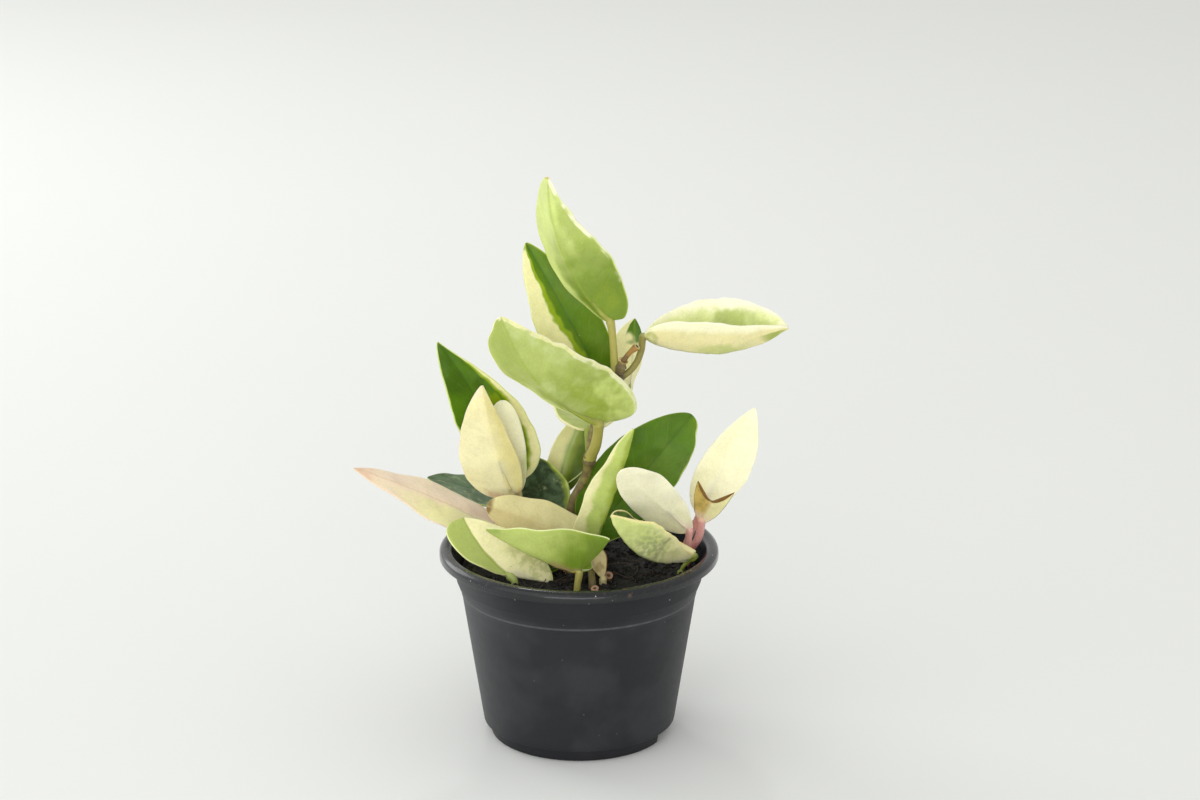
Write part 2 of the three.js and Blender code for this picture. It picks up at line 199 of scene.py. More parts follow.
def turned(profile, segments):
    """Rings of a turned piece: each point of the profile (radius, height) goes round the Z axis."""
    turn = np.linspace(0, 2 * np.pi, segments, endpoint=False)
    radius = profile[:, :1]
    height = np.broadcast_to(profile[:, 1:], (len(profile), segments))
    return np.stack([radius * np.cos(turn), radius * np.sin(turn), height], -1)


def rounded(corners, steps=6):
    """A profile whose corners (radius, height, rounding) are eased by a quadratic curve each.

    The curve leaves one side and joins the next at the rounding's distance from the corner.
    """
    spots = np.array([corner[:2] for corner in corners], float)
    size = np.array([corner[2] for corner in corners], float)[:, None]
    inward = unit(np.roll(spots, 1, 0) - spots + 1e-9) * size
    onward = unit(np.roll(spots, -1, 0) - spots + 1e-9) * size
    share = np.linspace(0, 1, steps)[None, :, None]
    start = (spots + inward)[:, None]
    end = (spots + onward)[:, None]
    curve = start * (1 - share) ** 2 + 2 * spots[:, None] * share * (1 - share) + end * share ** 2
    return curve.reshape(-1, 2)


# ---- Shader sums ----

class Wire:
    """A socket that Python's operators work on: each one adds the Math node that it stands for."""

    def __init__(self, skin, socket):
        self.skin = skin
        self.socket = socket

    def _sum(self, operation, *values):
        return self.skin.node("ShaderNodeMath", {"operation": operation}, dict(enumerate(values)))

    def __add__(self, other):
        return self._sum("ADD", self, other)

    def __sub__(self, other):
        return self._sum("SUBTRACT", self, other)

    def __rsub__(self, other):
        return self._sum("SUBTRACT", other, self)

    def __mul__(self, other):
        return self._sum("MULTIPLY", self, other)

    def __abs__(self):
        return self._sum("ABSOLUTE", self)

    __radd__ = __add__
    __rmul__ = __mul__

    def wave(self):
        return self._sum("SINE", self)

    def rise(self, low, high):
        """0 below low and 1 above high, eased in between."""
        settings = {"interpolation_type": "SMOOTHSTEP", "clamp": True}
        return self.skin.node("ShaderNodeMapRange", settings, {0: self, 1: low, 2: high})


class Finish:
    """A material being made over one ground colour: node adds any node, the rest name the usual ones."""

    def __init__(self, name, ground, group="hoya_leaves"):
        self.material = bpy.data.materials.new(name)
        self.material.use_nodes = True
        self.tree = self.material.node_tree
        self.tree.nodes.clear()
        self.shader = self.tree.nodes.new("ShaderNodeBsdfPrincipled")
        output = self.tree.nodes.new("ShaderNodeOutputMaterial")
        self.tree.links.new(self.shader.outputs[0], output.inputs[0])
        self.group = group
        self.colour = self.paint(ground)
        spot = self.node("ShaderNodeTexCoord", output="Object")
        self.place = self.stretched(spot, (1 / MM,) * 3)

    def node(self, kind, settings=None, inputs=None, output=0):
        """Adds a node, sets its settings, fills its sockets with values or links, and gives an output."""
        made = self.tree.nodes.new(kind)
        for name, value in (settings or {}).items():
            setattr(made, name, value)
        for key, value in (inputs or {}).items():
            self.feed(made.inputs[key], value)
        return Wire(self, made.outputs[output])

    def feed(self, socket, value):
        """Links a wire to a socket, or sets the socket to a value."""
        if isinstance(value, Wire):
            self.tree.links.new(value.socket, socket)
        else:
            socket.default_value = value

    def paint(self, colour):
        """A colour of the settings by its name, with full alpha; a colour or a wire stays as it is."""
        if isinstance(colour, str):
            return (*getattr(getattr(bpy.context.scene, self.group), colour), 1)
        return colour

    def stretched(self, place, scale):
        """A place scaled along each axis."""
        return self.node("ShaderNodeMapping", {}, {"Vector": place, "Scale": scale})

    def parts(self, vector):
        """The x, y and z of a vector."""
        split = self.node("ShaderNodeSeparateXYZ", {}, {0: vector}).socket.node
        return [Wire(self, socket) for socket in split.outputs]

    def along_across(self):
        """The UV map as two numbers."""
        return self.parts(self.node("ShaderNodeUVMap", {"uv_map": "UVMap"}))[:2]

    def value(self, name):
        """A number kept on the mesh."""
        return self.node("ShaderNodeAttribute", {"attribute_name": name}, output="Fac")

    def noise(self, size, detail=2.0, rough=0.5, place=None):
        """Cloudy values about 0.5, with lumps of the given size in millimetres."""
        return self.node("ShaderNodeTexNoise", {}, {
            "Vector": place or self.place, "Scale": 1 / size, "Detail": detail, "Roughness": rough})

    def specks(self, spacing, radius):
        """1 on round specks of a radius, and 0 off them; both in millimetres."""
        far = self.node("ShaderNodeTexVoronoi", {}, {"Vector": self.place, "Scale": 1 / spacing}, "Distance")
        return 1 - far.rise(0.6 * radius / spacing, 1.1 * radius / spacing)

    def lay(self, mask, colour, blend="MIX"):
        """Covers the colour so far with another one, as far as the mask goes."""
        settings = {"data_type": "RGBA", "blend_type": blend}
        inputs = {0: mask, 6: self.colour, 7: self.paint(colour)}
        self.colour = self.node("ShaderNodeMix", settings, inputs, 2)

    def bump(self, height, distance):
        """A Normal from a height in units of the distance, in millimetres."""
        return self.node("ShaderNodeBump", {}, {"Height": height, "Distance": distance * MM})

    def done(self, roughness, normal=None, **constants):
        """Feeds the shader; the constants go straight onto its own sockets."""
        self.feed(self.shader.inputs["Base Color"], self.colour)
        self.feed(self.shader.inputs["Roughness"], roughness)
        if normal is not None:
            self.feed(self.shader.inputs["Normal"], normal)
        for name, value in constants.items():
            self.shader.inputs[name.replace("_", " ").title().replace("Ior", "IOR")].default_value = value
        return self.material


# ---- Settings ----

def linear(code):
    """A colour written as in a paint chart, as the light that it stands for."""
    parts = np.array([int(code[i:i + 2], 16) for i in (0, 2, 4)]) / 255
    light = np.where(parts <= 0.04045, parts / 12.92, ((parts + 0.055) / 1.055) ** 2.4)
    return tuple(float(part) for part in light)


def tint(name, description, code):
    """A colour property."""
    return bpy.props.FloatVectorProperty(
        name=name, description=description, subtype="COLOR", size=3, min=0, max=1,
        default=linear(code))


def length(name, description, millimetres):
    """A length property, kept in metres."""
    return bpy.props.FloatProperty(
        name=name, description=description, default=millimetres * MM, min=0, unit="LENGTH",
        precision=5)


class HoyaLeafSettings(bpy.types.PropertyGroup):
    rib_thickness: length("Rib thickness", "Thickness of a blade along its rib", 1.5)
    margin_thickness: length("Margin thickness", "Thickness of a blade near its margin", 0.9)
    quilting: length("Quilting", "Height of the soft swellings of a blade", 0.3)
    rows: bpy.props.IntProperty(
        name="Rows", description="Rings along a blade", default=110, min=20, max=200)
    columns: bpy.props.IntProperty(
        name="Columns", description="Points round a blade", default=96, min=24, max=200)
    roughness: bpy.props.FloatProperty(
        name="Roughness", description="Roughness of the waxy skin", default=0.36, min=0, max=1,
        subtype="FACTOR")
    white: tint("White", "Leaves without any green", "fff9d6")
    ivory: tint("Ivory", "The palest patches", "fbf8dc")
    cream: tint("Cream", "Pale yellow patches", "f3edb8")
    butter: tint("Butter", "Warm yellow patches", "efe3a2")
    lime: tint("Lime", "Pale lime green", "d6e48c")
    bright: tint("Bright lime", "Fresh lime borders", "9db41c")
    moss: tint("Moss", "Middle green", "93a53a")
    fern: tint("Fern", "Fresh middle green", "76902a")
    sage: tint("Sage", "Pale green undersides", "b4c26e")
    mist: tint("Mist", "Greyish pale green patches", "c9d493")
    green: tint("Green", "Full green", "588012")
    deep: tint("Deep green", "Dark green", "3a5810")
    shadow: tint("Shadow green", "The darkest green", "2c3d22")
    teal: tint("Teal", "Bluish dark green", "647c58")
    pink: tint("Pink", "Flushed patches", "fde3cd")
    rose: tint("Rose", "Pink margins and stalks", "d69a88")
    blush: tint("Blush", "Upper part of a pink stalk", "efb4aa")
    beige: tint("Beige", "Faded patches", "d5c790")
    gold: tint("Gold", "Yellowed tips", "c9a53c")
    brown: tint("Brown", "Dried tissue", "7d5a30")
    bark: tint("Bark", "Woody joints", "63513a")
    wood: tint("Wood", "Greyish young wood", "75683f")
    rust: tint("Rust", "Old flower stalks", "a9803e")
    olive: tint("Olive", "Greenish brown", "8c8440")
    straw: tint("Straw", "Yellowish stalks", "aea856")
    clay: tint("Clay", "Cut shoots", "b58a70")
    crimson: tint("Crimson", "Red foot of a stalk", "bc4060")


class HoyaPotSettings(bpy.types.PropertyGroup):
    height: length("Height", "Height of the pot", 74)
    lip_radius: length("Lip radius", "Radius over the lip", 52.5)
    foot_radius: length("Foot radius", "Radius of the foot", 34.3)
    soil_height: length("Soil height", "Height of the soil above the floor", 65.5)
    plastic: tint("Plastic", "Charcoal plastic", "1f2024")
    # Rubbed plastic, and also the colour of the painted sheen on the pot's left side and of the painted
    # highlight along its moulding line.
    scuff: tint("Scuffs", "Rubbed plastic", "84878b")
    dust: tint("Dust", "Pale specks on the pot", "cfccc2")
    dirt: tint("Dirt", "Dried soil on the pot", "5b4733")
    soil: tint("Soil", "Damp soil", "110f0d")
    crumb: tint("Crumbs", "Dry crumbs and fibres", "494034")


class HoyaStageSettings(bpy.types.PropertyGroup):
    floor: tint("Floor", "Plain pale floor", "eceeeb")
    sky: bpy.props.FloatProperty(
        name="Room light", description="Strength of the even light of the room", default=0.7, min=0)
    key: bpy.props.FloatProperty(
        name="Key light", description="Power of the large soft lamp", default=9.0, min=0,
        unit="POWER")


# ---- Leaves: patches and sizes ----

@dataclass
class Patch:
    """A coloured patch of a blade.

    s is its stretch from the base, 0, to the tip, 1. across is its stretch from the left margin, -1,
    to the right one, 1, and each end may be a pair, at the base and at the tip. An end on the blade's
    border or past it is open. rim is how far it reaches inwards from the margin in millimetres, or a
    stretch of that. face is 1 for the upper side alone and -1 for the under side. soft and wander are
    the softness and the waviness of its edge, and patchy is the size of lumps in millimetres and the
    level that breaks it up.
    """
    colour: str
    s: tuple = None
    across: tuple = None
    rim: object = None
    face: int = 0
    soft: float = 0.2
    wander: float = 0.1
    patchy: tuple = None
    amount: float = 1.0


@dataclass
class Leaf:
    """A leaf: its base and tip, where its upper side faces, its half-width, its stalk and its colours.

    blade_rings says what the sizes do. A size may be a pair, for the left and the right half. stalks
    are the colours of the stalk's foot and top, and speckle is the colour, the spacing and the radius
    of its specks.
    """
    base: tuple
    tip: tuple
    faces: tuple
    half: object
    stalk: list
    ground: str
    patches: list
    arch: float = 0
    bow: float = 0
    fold: object = 15
    curl: object = 0
    twist: float = 0
    lobe: object = 2
    heel: float = 0
    horn: object = 0
    round: object = 0.5
    point: object = 0.8
    wave: float = 0.5
    uneven: float = 0.03
    bumps: tuple = ()
    stalk_radius: float = 1.3
    edge: str = "cream"
    rib: str = "moss"
    stalks: tuple = ("moss", "moss")
    speckle: tuple = None

    def __post_init__(self):
        self.base, self.tip, self.faces = np.array([self.base, self.tip, self.faces], float)


def rooted(x, y, *more):
    """A stalk that stands in the soil."""
    return [(x, y, ROOT_HEIGHT), (x, y, ROOT_HEIGHT + 9), *more]


LEAVES = {
    "leaf_top": Leaf(
        (11.5, -3, 162.5), (-11, -12, 219), (0.15, 0.95, 0.1), (14, 14), [(13.6, -0.4, 141)], "lime",
        [Patch("mist", patchy=(11, 0.54), amount=0.3),
         Patch("moss", s=(0.05, 0.66), across=(-2, 0.15), soft=0.24, wander=0.15, amount=0.5),
         Patch("moss", s=(0.5, 0.93), across=(-0.85, -0.35), soft=0.12, wander=0.16, amount=0.4),
         Patch("fern", s=(-1, 0.46), across=(-2, 0.6), soft=0.28, wander=0.12, amount=0.95),
         Patch("moss", s=(0.08, 0.2), across=(-0.7, 0.1), soft=0.1, wander=0.2, amount=0.5),
         Patch("ivory", s=(0.64, 0.985), across=(-2, 0), rim=1.7, soft=0.3, wander=0.8),
         Patch("ivory", s=(0.5, 0.64), across=(-2, 0), rim=0.6, soft=0.3, wander=0.5),
         Patch("lime", s=(0.04, 0.5), across=(-2, 0), rim=0.5, soft=0.3, wander=0.3),
         Patch("lime", across=(0, 2), rim=0.8, soft=0.35, wander=0.3),
         Patch("rose", s=(-1, 0.45), across=(0, 2), rim=(0.7, 1.0), soft=0.15, amount=0.35),
         Patch("gold", s=(0.975, 2), soft=0.012, amount=0.8)],
        arch=-3, bow=5, fold=(12, 42), twist=-15, lobe=(4, 1), round=(0.45, 0.6), point=(0.95, 0.6),
        wave=0.7, bumps=((-1, 0.44, 0.1, 1.8), (-1, 0.58, 0.03, 0.6), (-1, 0.72, 0.05, -1.2),
        (-1, 0.87, 0.06, -0.8), (1, 0.14, 0.1, -2.1), (1, 0.33, 0.08, -1.3)), stalk_radius=1.45,
        edge="ivory", stalks=("straw", "straw"), speckle=("ivory", 4, 0.22)),
    "leaf_top_behind": Leaf(
        (10, 9, 133), (-19.5, 12, 188), (0.1, -0.9, 0.3), (13.5, 10.5), [(11, 4, 130)], "green",
        [Patch("deep", patchy=(7, 0.52), amount=0.2),
         Patch("fern", across=(0.2, 2), wander=0.2, amount=0.35),
         Patch("fern", patchy=(9, 0.5), amount=0.3),
         Patch("fern", s=(0.1, 0.9), across=(-2, 0.15), soft=0.12, wander=0.16, amount=0.1),
         Patch("bright", s=(0.02, 0.97), across=(-2, (-0.07, -0.38)), soft=0.05, wander=0.14, amount=0.85),
         Patch("cream", s=(-1, 0.955), across=(-2, (-0.2, -0.55)), soft=0.035, wander=0.14),
         Patch("bright", across=(0, 2), rim=0.5, soft=0.25, wander=0.5, amount=0.5)],
        arch=3, wave=0.8, edge="lime", rib="deep", stalks=("bark", "moss"), speckle=("mist", 3.4, 0.26)),
    "leaf_front_wide": Leaf(
        (7, -4, 123.5), (-28, -20, 169), (0.05, 0.9, 0), (20.5, 12), [(4, 5, 106), (6.5, 0, 114)], "sage",
        [Patch("mist", patchy=(10, 0.53), amount=0.6),
         Patch("moss", s=(-1, 0.42), across=(-0.85, 0.6), soft=0.25, wander=0.25, amount=0.9),
         Patch("moss", s=(0.66, 2), across=(0.0, 0.85), soft=0.16, wander=0.2, amount=0.4),
         Patch("mist", s=(0.1, 0.3), across=(-0.2, 0.5), soft=0.1, wander=0.2, amount=0.4),
         Patch("lime", s=(-1, 0.2), across=(-2, -0.35), soft=0.14, wander=0.25, amount=0.7),
         Patch("ivory", s=(0.03, 0.34), across=(-2, 0), rim=1.8, soft=0.4, wander=1.2),
         Patch("cream", s=(0.3, 0.52), across=(-2, 0), rim=0.7, soft=0.3, wander=0.4),
         Patch("cream", s=(0.5, 0.84), across=(-2, 0), rim=1.8, soft=0.35, wander=1.2),
         Patch("cream", s=(0.84, 0.97), across=(-2, 0), rim=0.6, soft=0.3, wander=0.4),
         Patch("cream", across=(0, 2), rim=0.6, soft=0.3, wander=0.3)],
        arch=-4, bow=5.2, fold=(8, 35), twist=-5, lobe=(14, 0), heel=1, round=(0.35, 2.2), point=(0.85, 0.7),
        wave=0.8, bumps=((1, 0.93, 0.05, -2.0), (1, 0.64, 0.07, 1.0), (1, 0.45, 0.06, -0.8),
        (-1, 0.7, 0.03, -0.9), (-1, 0.64, 0.03, 0.7)), stalk_radius=1.95, edge="ivory",
        stalks=("straw", "straw"), speckle=("ivory", 4.5, 0.24)),
    "leaf_right_boat": Leaf(
        (24, 0, 155.8), (77, -6, 160.8), (0, 0, 1), (20.2, 15),
        [(15.4, 0, 139.6), (18.8, 0.1, 142), (21.6, 0.2, 145.8), (23.2, 0.2, 150.3)], "cream",
        [Patch("beige", face=-1, amount=0.35),
         Patch("moss", s=(-1, 0.035), soft=0.03, amount=0.7),
         Patch("sage", s=(0.4, 0.7), across=(-0.3, 0.3), face=-1, soft=0.12, wander=0.12, amount=0.7),
         Patch("moss", s=(0.84, 0.985), across=(-0.3, 0.45), face=-1, soft=0.05, wander=0.08, amount=0.8),
         Patch("ivory", across=(0.72, 2), face=-1, soft=0.12, amount=0.7),
         Patch("ivory", face=1),
         Patch("lime", s=(0.03, 0.985), across=(-0.8, 0.3), face=1, soft=0.14, wander=0.14, amount=0.7),
         Patch("sage", s=(0.04, 0.46), across=(-0.62, 0.2), face=1, soft=0.16, wander=0.2, amount=0.35),
         Patch("moss", s=(0.5, 0.76), across=(-0.8, -0.2), face=1, soft=0.09, wander=0.14, amount=0.6),
         Patch("moss", s=(0.72, 0.97), across=(-0.6, 0.2), face=1, soft=0.1, wander=0.2, patchy=(6, 0.5),
               amount=0.35)],
        arch=-7, fold=(48, 45), curl=35, lobe=0, point=(0.5, 0.8), wave=0.3, stalk_radius=1.2, edge="ivory",
        rib="lime", stalks=("bark", "olive"), speckle=("ivory", 4, 0.22)),
    "leaf_cream_back": Leaf(
        (18, 13, 129.5), (21, 30, 153.5), (-0.7, 0.6, 0.2), (9, 9), [(11, 4, 130)], "cream",
        [Patch("green", s=(0.72, 2), across=(-2, 0.4), soft=0.06, wander=0.16)],
        fold=25, twist=-40, stalks=("bark", "cream")),
    "leaf_pointing_back": Leaf(
        (3.5, 10, 116), (3.5, 55, 121.5), (0, -0.3, 0.95), (13.5, 13.5), [(4, 5, 106), (3.6, 7, 112)],
        "sage",
        [Patch("mist", patchy=(7, 0.5), amount=0.6),
         Patch("cream", rim=0.6, soft=0.3, wander=0.4)],
        fold=12, stalks=("bark", "moss"), speckle=("ivory", 5, 0.3)),
    "leaf_behind_stem": Leaf(
        (-8.5, 37, 83), (2, 45, 111.5), (0, -0.9, 0.4), (6.3, 8), [(3, 6.5, 102), (-2, 20, 93)], "mist",
        [Patch("cream", across=(-2, -0.2), wander=0.16),
         Patch("moss", across=(0.15, 2), wander=0.2),
         Patch("deep", across=(0.5, 2), wander=0.25, amount=0.7)],
        bow=-1, stalks=("bark", "mist")),
    "leaf_left_tall": Leaf(
        (-28.5, 23, 91.5), (-53, 19, 147.5), (0.1, -0.9, 0.4), (11.5, 16),
        [(-23.5, 14, 86.5), (-28, 18.5, 88)], "green",
        [Patch("deep", patchy=(13, 0.48), amount=0.6),
         Patch("bright", s=(0.02, 0.85), across=((0.66, 0.86), 2), soft=0.05, wander=0.12),
         Patch("cream", s=(-1, 0.94), across=((0.72, 0.98), 2), soft=0.05),
         Patch("bright", s=(0.42, 0.56), across=(0.4, 0.7), soft=0.06, wander=0.08, amount=0.8),
         Patch("lime", rim=0.4, wander=0.2, amount=0.7)],
        arch=2, bow=3.4, round=(0.5, 0.4), point=(0.8, 1.3), wave=0.8, edge="lime", rib="deep",
        stalks=("bark", "moss"), speckle=("lime", 5, 0.22)),
    "leaf_left_cream": Leaf(
        (-25.5, 10.5, 90.6), (-36, 4, 135.2), (0.1, 0.95, 0), (6.6, 15), [(-23.5, 14, 86.5)], "butter",
        [Patch("beige", s=(0.5, 2), across=(-2, 0.5), soft=0.3, amount=0.25),
         Patch("white", s=(-1, 0.95), across=(-0.2, 2), soft=0.4, wander=0.2, amount=0.5),
         Patch("pink", across=(0, 2), rim=0.5, soft=0.5, wander=0.3, amount=0.5),
         Patch("pink", s=(0.93, 2), soft=0.06, amount=0.8),
         Patch("rose", s=(0.985, 2), soft=0.015, amount=0.5),
         Patch("rose", s=(-1, 0.03), soft=0.035, amount=0.5)],
        arch=-2, bow=1, fold=(22, 10), round=0.4, point=(1, 0.88), edge="pink", rib="butter",
        stalks=("bark", "beige")),
    "leaf_left_white": Leaf(
        (-23.6, 16, 90.8), (-29.3, 13.5, 126.3), (0.25, -0.95, 0.1), (7, 5.4),
        [(-23.2, 14, 86), (-22.8, 15.5, 87.8)], "white",
        # Painted shade: the moss patch at the lower right of this white blade stands for shade on its cupped
        # side.
        [Patch("moss", s=(-1, 0.36), across=(0.45, 2), soft=0.16, amount=0.4)],
        bow=0.3, fold=12, point=0.45, wave=0.3, edge="ivory", rib="ivory", stalks=("bark", "beige")),
    "leaf_left_flat": Leaf(
        (-22, 36, 77), (-58.5, 34.5, 88.4), (0, -0.1, 0.98), (12, 12), [(-21, 13.8, 76), (-21.5, 24, 75)],
        "teal",
        [Patch("shadow", patchy=(7, 0.52), amount=0.35),
         Patch("mist", patchy=(3, 0.6), amount=0.3),
         Patch("mist", rim=0.45, soft=0.25, wander=0.3, amount=0.5)],
        fold=4, edge="mist", rib="shadow", stalks=("bark", "teal"), speckle=("mist", 3, 0.3)),
    "leaf_pink": Leaf(
        (-30, 12, 75), (-84, 0, 104), (0, -0.3, 0.95), (12, 12), [(-20, 13.3, 72.5)], "cream",
        [Patch("pink", across=((0.1, -0.4), 2), soft=0.14, wander=0.14, amount=0.85),
         Patch("pink", s=(0.62, 2), amount=0.8),
         Patch("rose", s=(0.9, 2), soft=0.08, amount=0.4),
         Patch("rose", s=(-1, 0.2), across=(0.1, 2), soft=0.14, wander=0.2, amount=0.2),
         Patch("moss", s=(0.02, 0.3), across=(-1, -0.4), soft=0.1, patchy=(4, 0.53), amount=0.4),
         Patch("rose", rim=0.25, amount=0.35)],
        bow=2, fold=-6, point=1, edge="pink", rib="beige", stalks=("bark", "rose")),
    "leaf_mottled_middle": Leaf(
        (-12.5, 10, 78), (-18, 34, 97), (0.05, -0.8, 0.5), (10, 10), [(-19.5, 13.2, 73)], "shadow",
        [Patch("teal", patchy=(6, 0.52), amount=0.5),
         Patch("moss", across=(0.8, 2), soft=0.1, wander=0.12, amount=0.8),
         Patch("lime", across=(0.93, 2), soft=0.06, amount=0.7),
         Patch("mist", patchy=(3.4, 0.64), amount=0.35)],
        bow=1, fold=10, edge="moss", rib="shadow", stalks=("bark", "moss"), speckle=("mist", 2.8, 0.26)),
    "leaf_beige": Leaf(
        (6, -3, 75.2), (-34.5, -3.2, 90.2), (0, -0.6, 0.8), (9, 9.8), rooted(8, -5), "beige",
        [Patch("cream", across=(0.1, 2), soft=0.3, wander=0.2, amount=0.5),
         Patch("olive", s=(-1, 0.3), across=(-1, 0.2), soft=0.25, amount=0.3),
         Patch("brown", s=(0.965, 2), soft=0.02, wander=0.03, amount=0.8),
         Patch("rose", rim=0.3, wander=0.2, amount=0.35)],
        fold=5, round=0.45, point=0.5, edge="beige", rib="beige", stalks=("olive", "beige")),
    "leaf_over_lip": Leaf(
        (-26, -21, 69.2), (-43, -9.5, 87.8), (0.2, -0.75, 0.6), (9, 14.5), rooted(-24, -21.5), "cream",
        [Patch("sage", across=(-2, 0.0), soft=0.03, wander=0.03),
         Patch("moss", across=(-0.85, -0.05), patchy=(8, 0.5), amount=0.15),
         Patch("moss", s=(-1, 0.32), across=(0.4, 2), soft=0.14, patchy=(3, 0.5), amount=0.4),
         Patch("moss", across=(-0.03, 0.04), soft=0.02, wander=0.02, amount=0.6),
         Patch("lime", rim=0.3, wander=0.15, amount=0.8)],
        bow=-2, fold=(20, 5), twist=-10, lobe=(0, 16), round=(1, 0.3), point=(0.3, 0.8),
        stalks=("olive", "sage"), speckle=("shadow", 6, 0.22)),
    "leaf_middle_upright": Leaf(
        (4, -11.5, 75), (20, -27.5, 128.5), (-0.67, 0.74, 0), (10, 9.3), rooted(5, -23, (4.5, -16, 70)),
        "moss",
        [Patch("bright", s=(-1, 0.42), across=(-0.6, 0.4), soft=0.16, wander=0.2, amount=0.3),
         Patch("lime", s=(0.3, 2), soft=0.25, amount=0.12),
         Patch("lime", across=(-2, -0.4), soft=0.25, wander=0.12, amount=0.2),
         Patch("lime", across=((0.0, 0.3), 2), soft=0.14, wander=0.16, amount=0.6),
         Patch("cream", across=((0.46, 0.95), 2), soft=0.12, wander=0.16),
         Patch("ivory", across=(-2, 0), rim=0.3, wander=0.2, amount=0.7)],
        bow=-1, fold=42, round=0.35, stalks=("bark", "olive"), speckle=("lime", 4, 0.24)),
    "leaf_front_folded": Leaf(
        (0, -28, 73.5), (-34, -20, 87.5), (0, 0.22, 0.97), (18, 11), rooted(-0.5, -28.5), "moss",
        [Patch("lime", s=(0.25, 2), soft=0.3, amount=0.6),
         Patch("fern", s=(-1, 0.24), amount=0.8),
         Patch("green", s=(-1, 0.12), soft=0.14, amount=0.35),
         Patch("green", s=(0.9, 2), soft=0.06, amount=0.4),
         Patch("ivory", rim=0.22, soft=0.14, amount=0.8),
         Patch("rose", s=(-1, 0.3), across=(-0.1, 0.1), soft=0.06, amount=0.5)],
        arch=-1, fold=(72, 42), lobe=(9, 5), heel=0.5, round=(0.06, 0.5), point=(1, 1.25), edge="lime",
        rib="olive", stalks=("olive", "straw"), speckle=("deep", 9, 0.26)),
    "leaf_low_dark": Leaf(
        (-8, -7.5, 69), (-21, -3.5, 73.5), (0, -0.3, 0.95), (8, 8), rooted(-5, -8), "deep",
        [Patch("shadow", patchy=(4, 0.5), amount=0.5),
         Patch("mist", patchy=(2.2, 0.6), amount=0.5)],
        fold=5, edge="moss", stalks=("rose", "rose"), speckle=("mist", 2.4, 0.3)),
    "leaf_dark_wide": Leaf(
        (5, 6, 76), (42.5, 16, 120), (0.1, -0.9, 0.35), (16.5, 12), rooted(9, 2.5), "green",
        [Patch("deep", patchy=(15, 0.5), amount=0.35),
         Patch("fern", patchy=(12, 0.55), amount=0.3),
         Patch("deep", s=(-1, 0.3), amount=0.4),
         Patch("lime", across=(0, 2), rim=0.3, wander=0.3, amount=0.7)],
        arch=2, fold=10, round=0.45, point=(0.7, 0.5), uneven=0.015, bumps=((1, 0.92, 0.04, -0.8),),
        edge="moss", rib="deep", stalks=("olive", "moss")),
    "leaf_cream_spoon": Leaf(
        (41, -6, 82.5), (15.5, -30, 113.5), (-0.3, 0.7, 0.6), (8.7, 8.7), rooted(40.5, -1), "white",
        [Patch("cream", s=(-1, 0.3), soft=0.3, amount=0.3),
         Patch("pink", s=(-1, 0.06), soft=0.05, amount=0.4)],
        fold=-2, round=(0.8, 0.5), point=(0.5, 0.58), edge="white", rib="white",
        stalks=("crimson", "blush")),
    "leaf_right_mottled": Leaf(
        (43.2, -9.5, 72.9), (12, -34, 97.5), (0.1, 0.1, 0.97), (12.5, 11.5), rooted(38.5, -9.5), "cream",
        [Patch("lime", s=(0.6, 2), face=-1, soft=0.25, wander=0.12, amount=0.7),
         Patch("sage", s=(0.2, 0.95), across=(-0.85, 2), face=-1, wander=0.2, amount=0.4),
         Patch("sage", s=(0.25, 0.95), across=(-0.85, 2), face=-1, patchy=(4, 0.5), amount=0.4),
         Patch("teal", s=(0.34, 0.72), across=(-0.8, 2), face=-1, soft=0.16, patchy=(1.8, 0.5), amount=0.45),
         Patch("shadow", s=(0.4, 0.43), across=(-0.9, -0.1), face=-1, soft=0.025, wander=0.03, amount=0.4),
         Patch("green", s=(0.25, 2), face=1, soft=0.1, wander=0.16),
         Patch("shadow", s=(0.45, 2), face=1, soft=0.06, patchy=(5, 0.46), amount=0.8),
         Patch("butter", rim=0.7, soft=0.35, wander=0.4)],
        arch=-7, fold=(62, 62), lobe=(1, 2), round=(1.15, 0.7), point=(0.9, 0.5), edge="butter", rib="sage",
        stalks=("olive", "moss"), speckle=("ivory", 4, 0.24)),
    "leaf_right_white": Leaf(
        (46.2, 4.5, 86.5), (66, 10, 124.5), (-0.1, -0.9, 0.3), (8.6, 9.8), rooted(39.5, 9, (42.3, 7, 76)),
        "white",
        [Patch("mist", s=(0.2, 0.8), across=(-0.7, 0.2), soft=0.3, amount=0.05),
         Patch("cream", across=(-0.95, -0.3), soft=0.15, amount=0.25)],
        fold=12, round=(0.5, 0.8), point=0.95, wave=0.4, stalk_radius=1.2, edge="ivory", rib="ivory",
        stalks=("crimson", "blush")),
    "leaf_stump": Leaf(
        (46, -3.5, 85.5), (49, -9, 94.5), (0, -0.8, 0.5), (6.9, 6.5), rooted(41, 4.5, (45, 1.5, 76)),
        "beige",
        [Patch("gold", across=(-2, 0.1), wander=0.15, amount=0.6),
         Patch("olive", s=(0.2, 2), across=(-2, 0.05), patchy=(2.5, 0.52), amount=0.5),
         Patch("cream", across=(0.1, 2), soft=0.15, amount=0.8),
         Patch("pink", s=(-1, 0.3), amount=0.7),
         Patch("brown", s=(0.15, 2), rim=0.12, soft=0.15, wander=0.25, amount=0.8),
         Patch("brown", s=(0.985, 2), soft=0.015, wander=0.01)],
        fold=(12, 10), horn=(7.5, 12.3), round=0.6, point=0.01, wave=0.2, stalk_radius=1.5, edge="brown",
        rib="beige", stalks=("crimson", "blush")),
    "leaf_scrap": Leaf(
        (9, -20.5, 68), (6, -18.5, 78.5), (0, -0.9, 0.3), (3.2, 3.2), rooted(9, -20.5), "beige",
        [Patch("brown", patchy=(3, 0.56), amount=0.5),
         Patch("brown", rim=0.3)],
        fold=5, lobe=0, round=0.9, point=0.35, wave=0, edge="brown", rib="beige", stalks=("brown", "beige")),
}


# ---- Leaves: shape ----

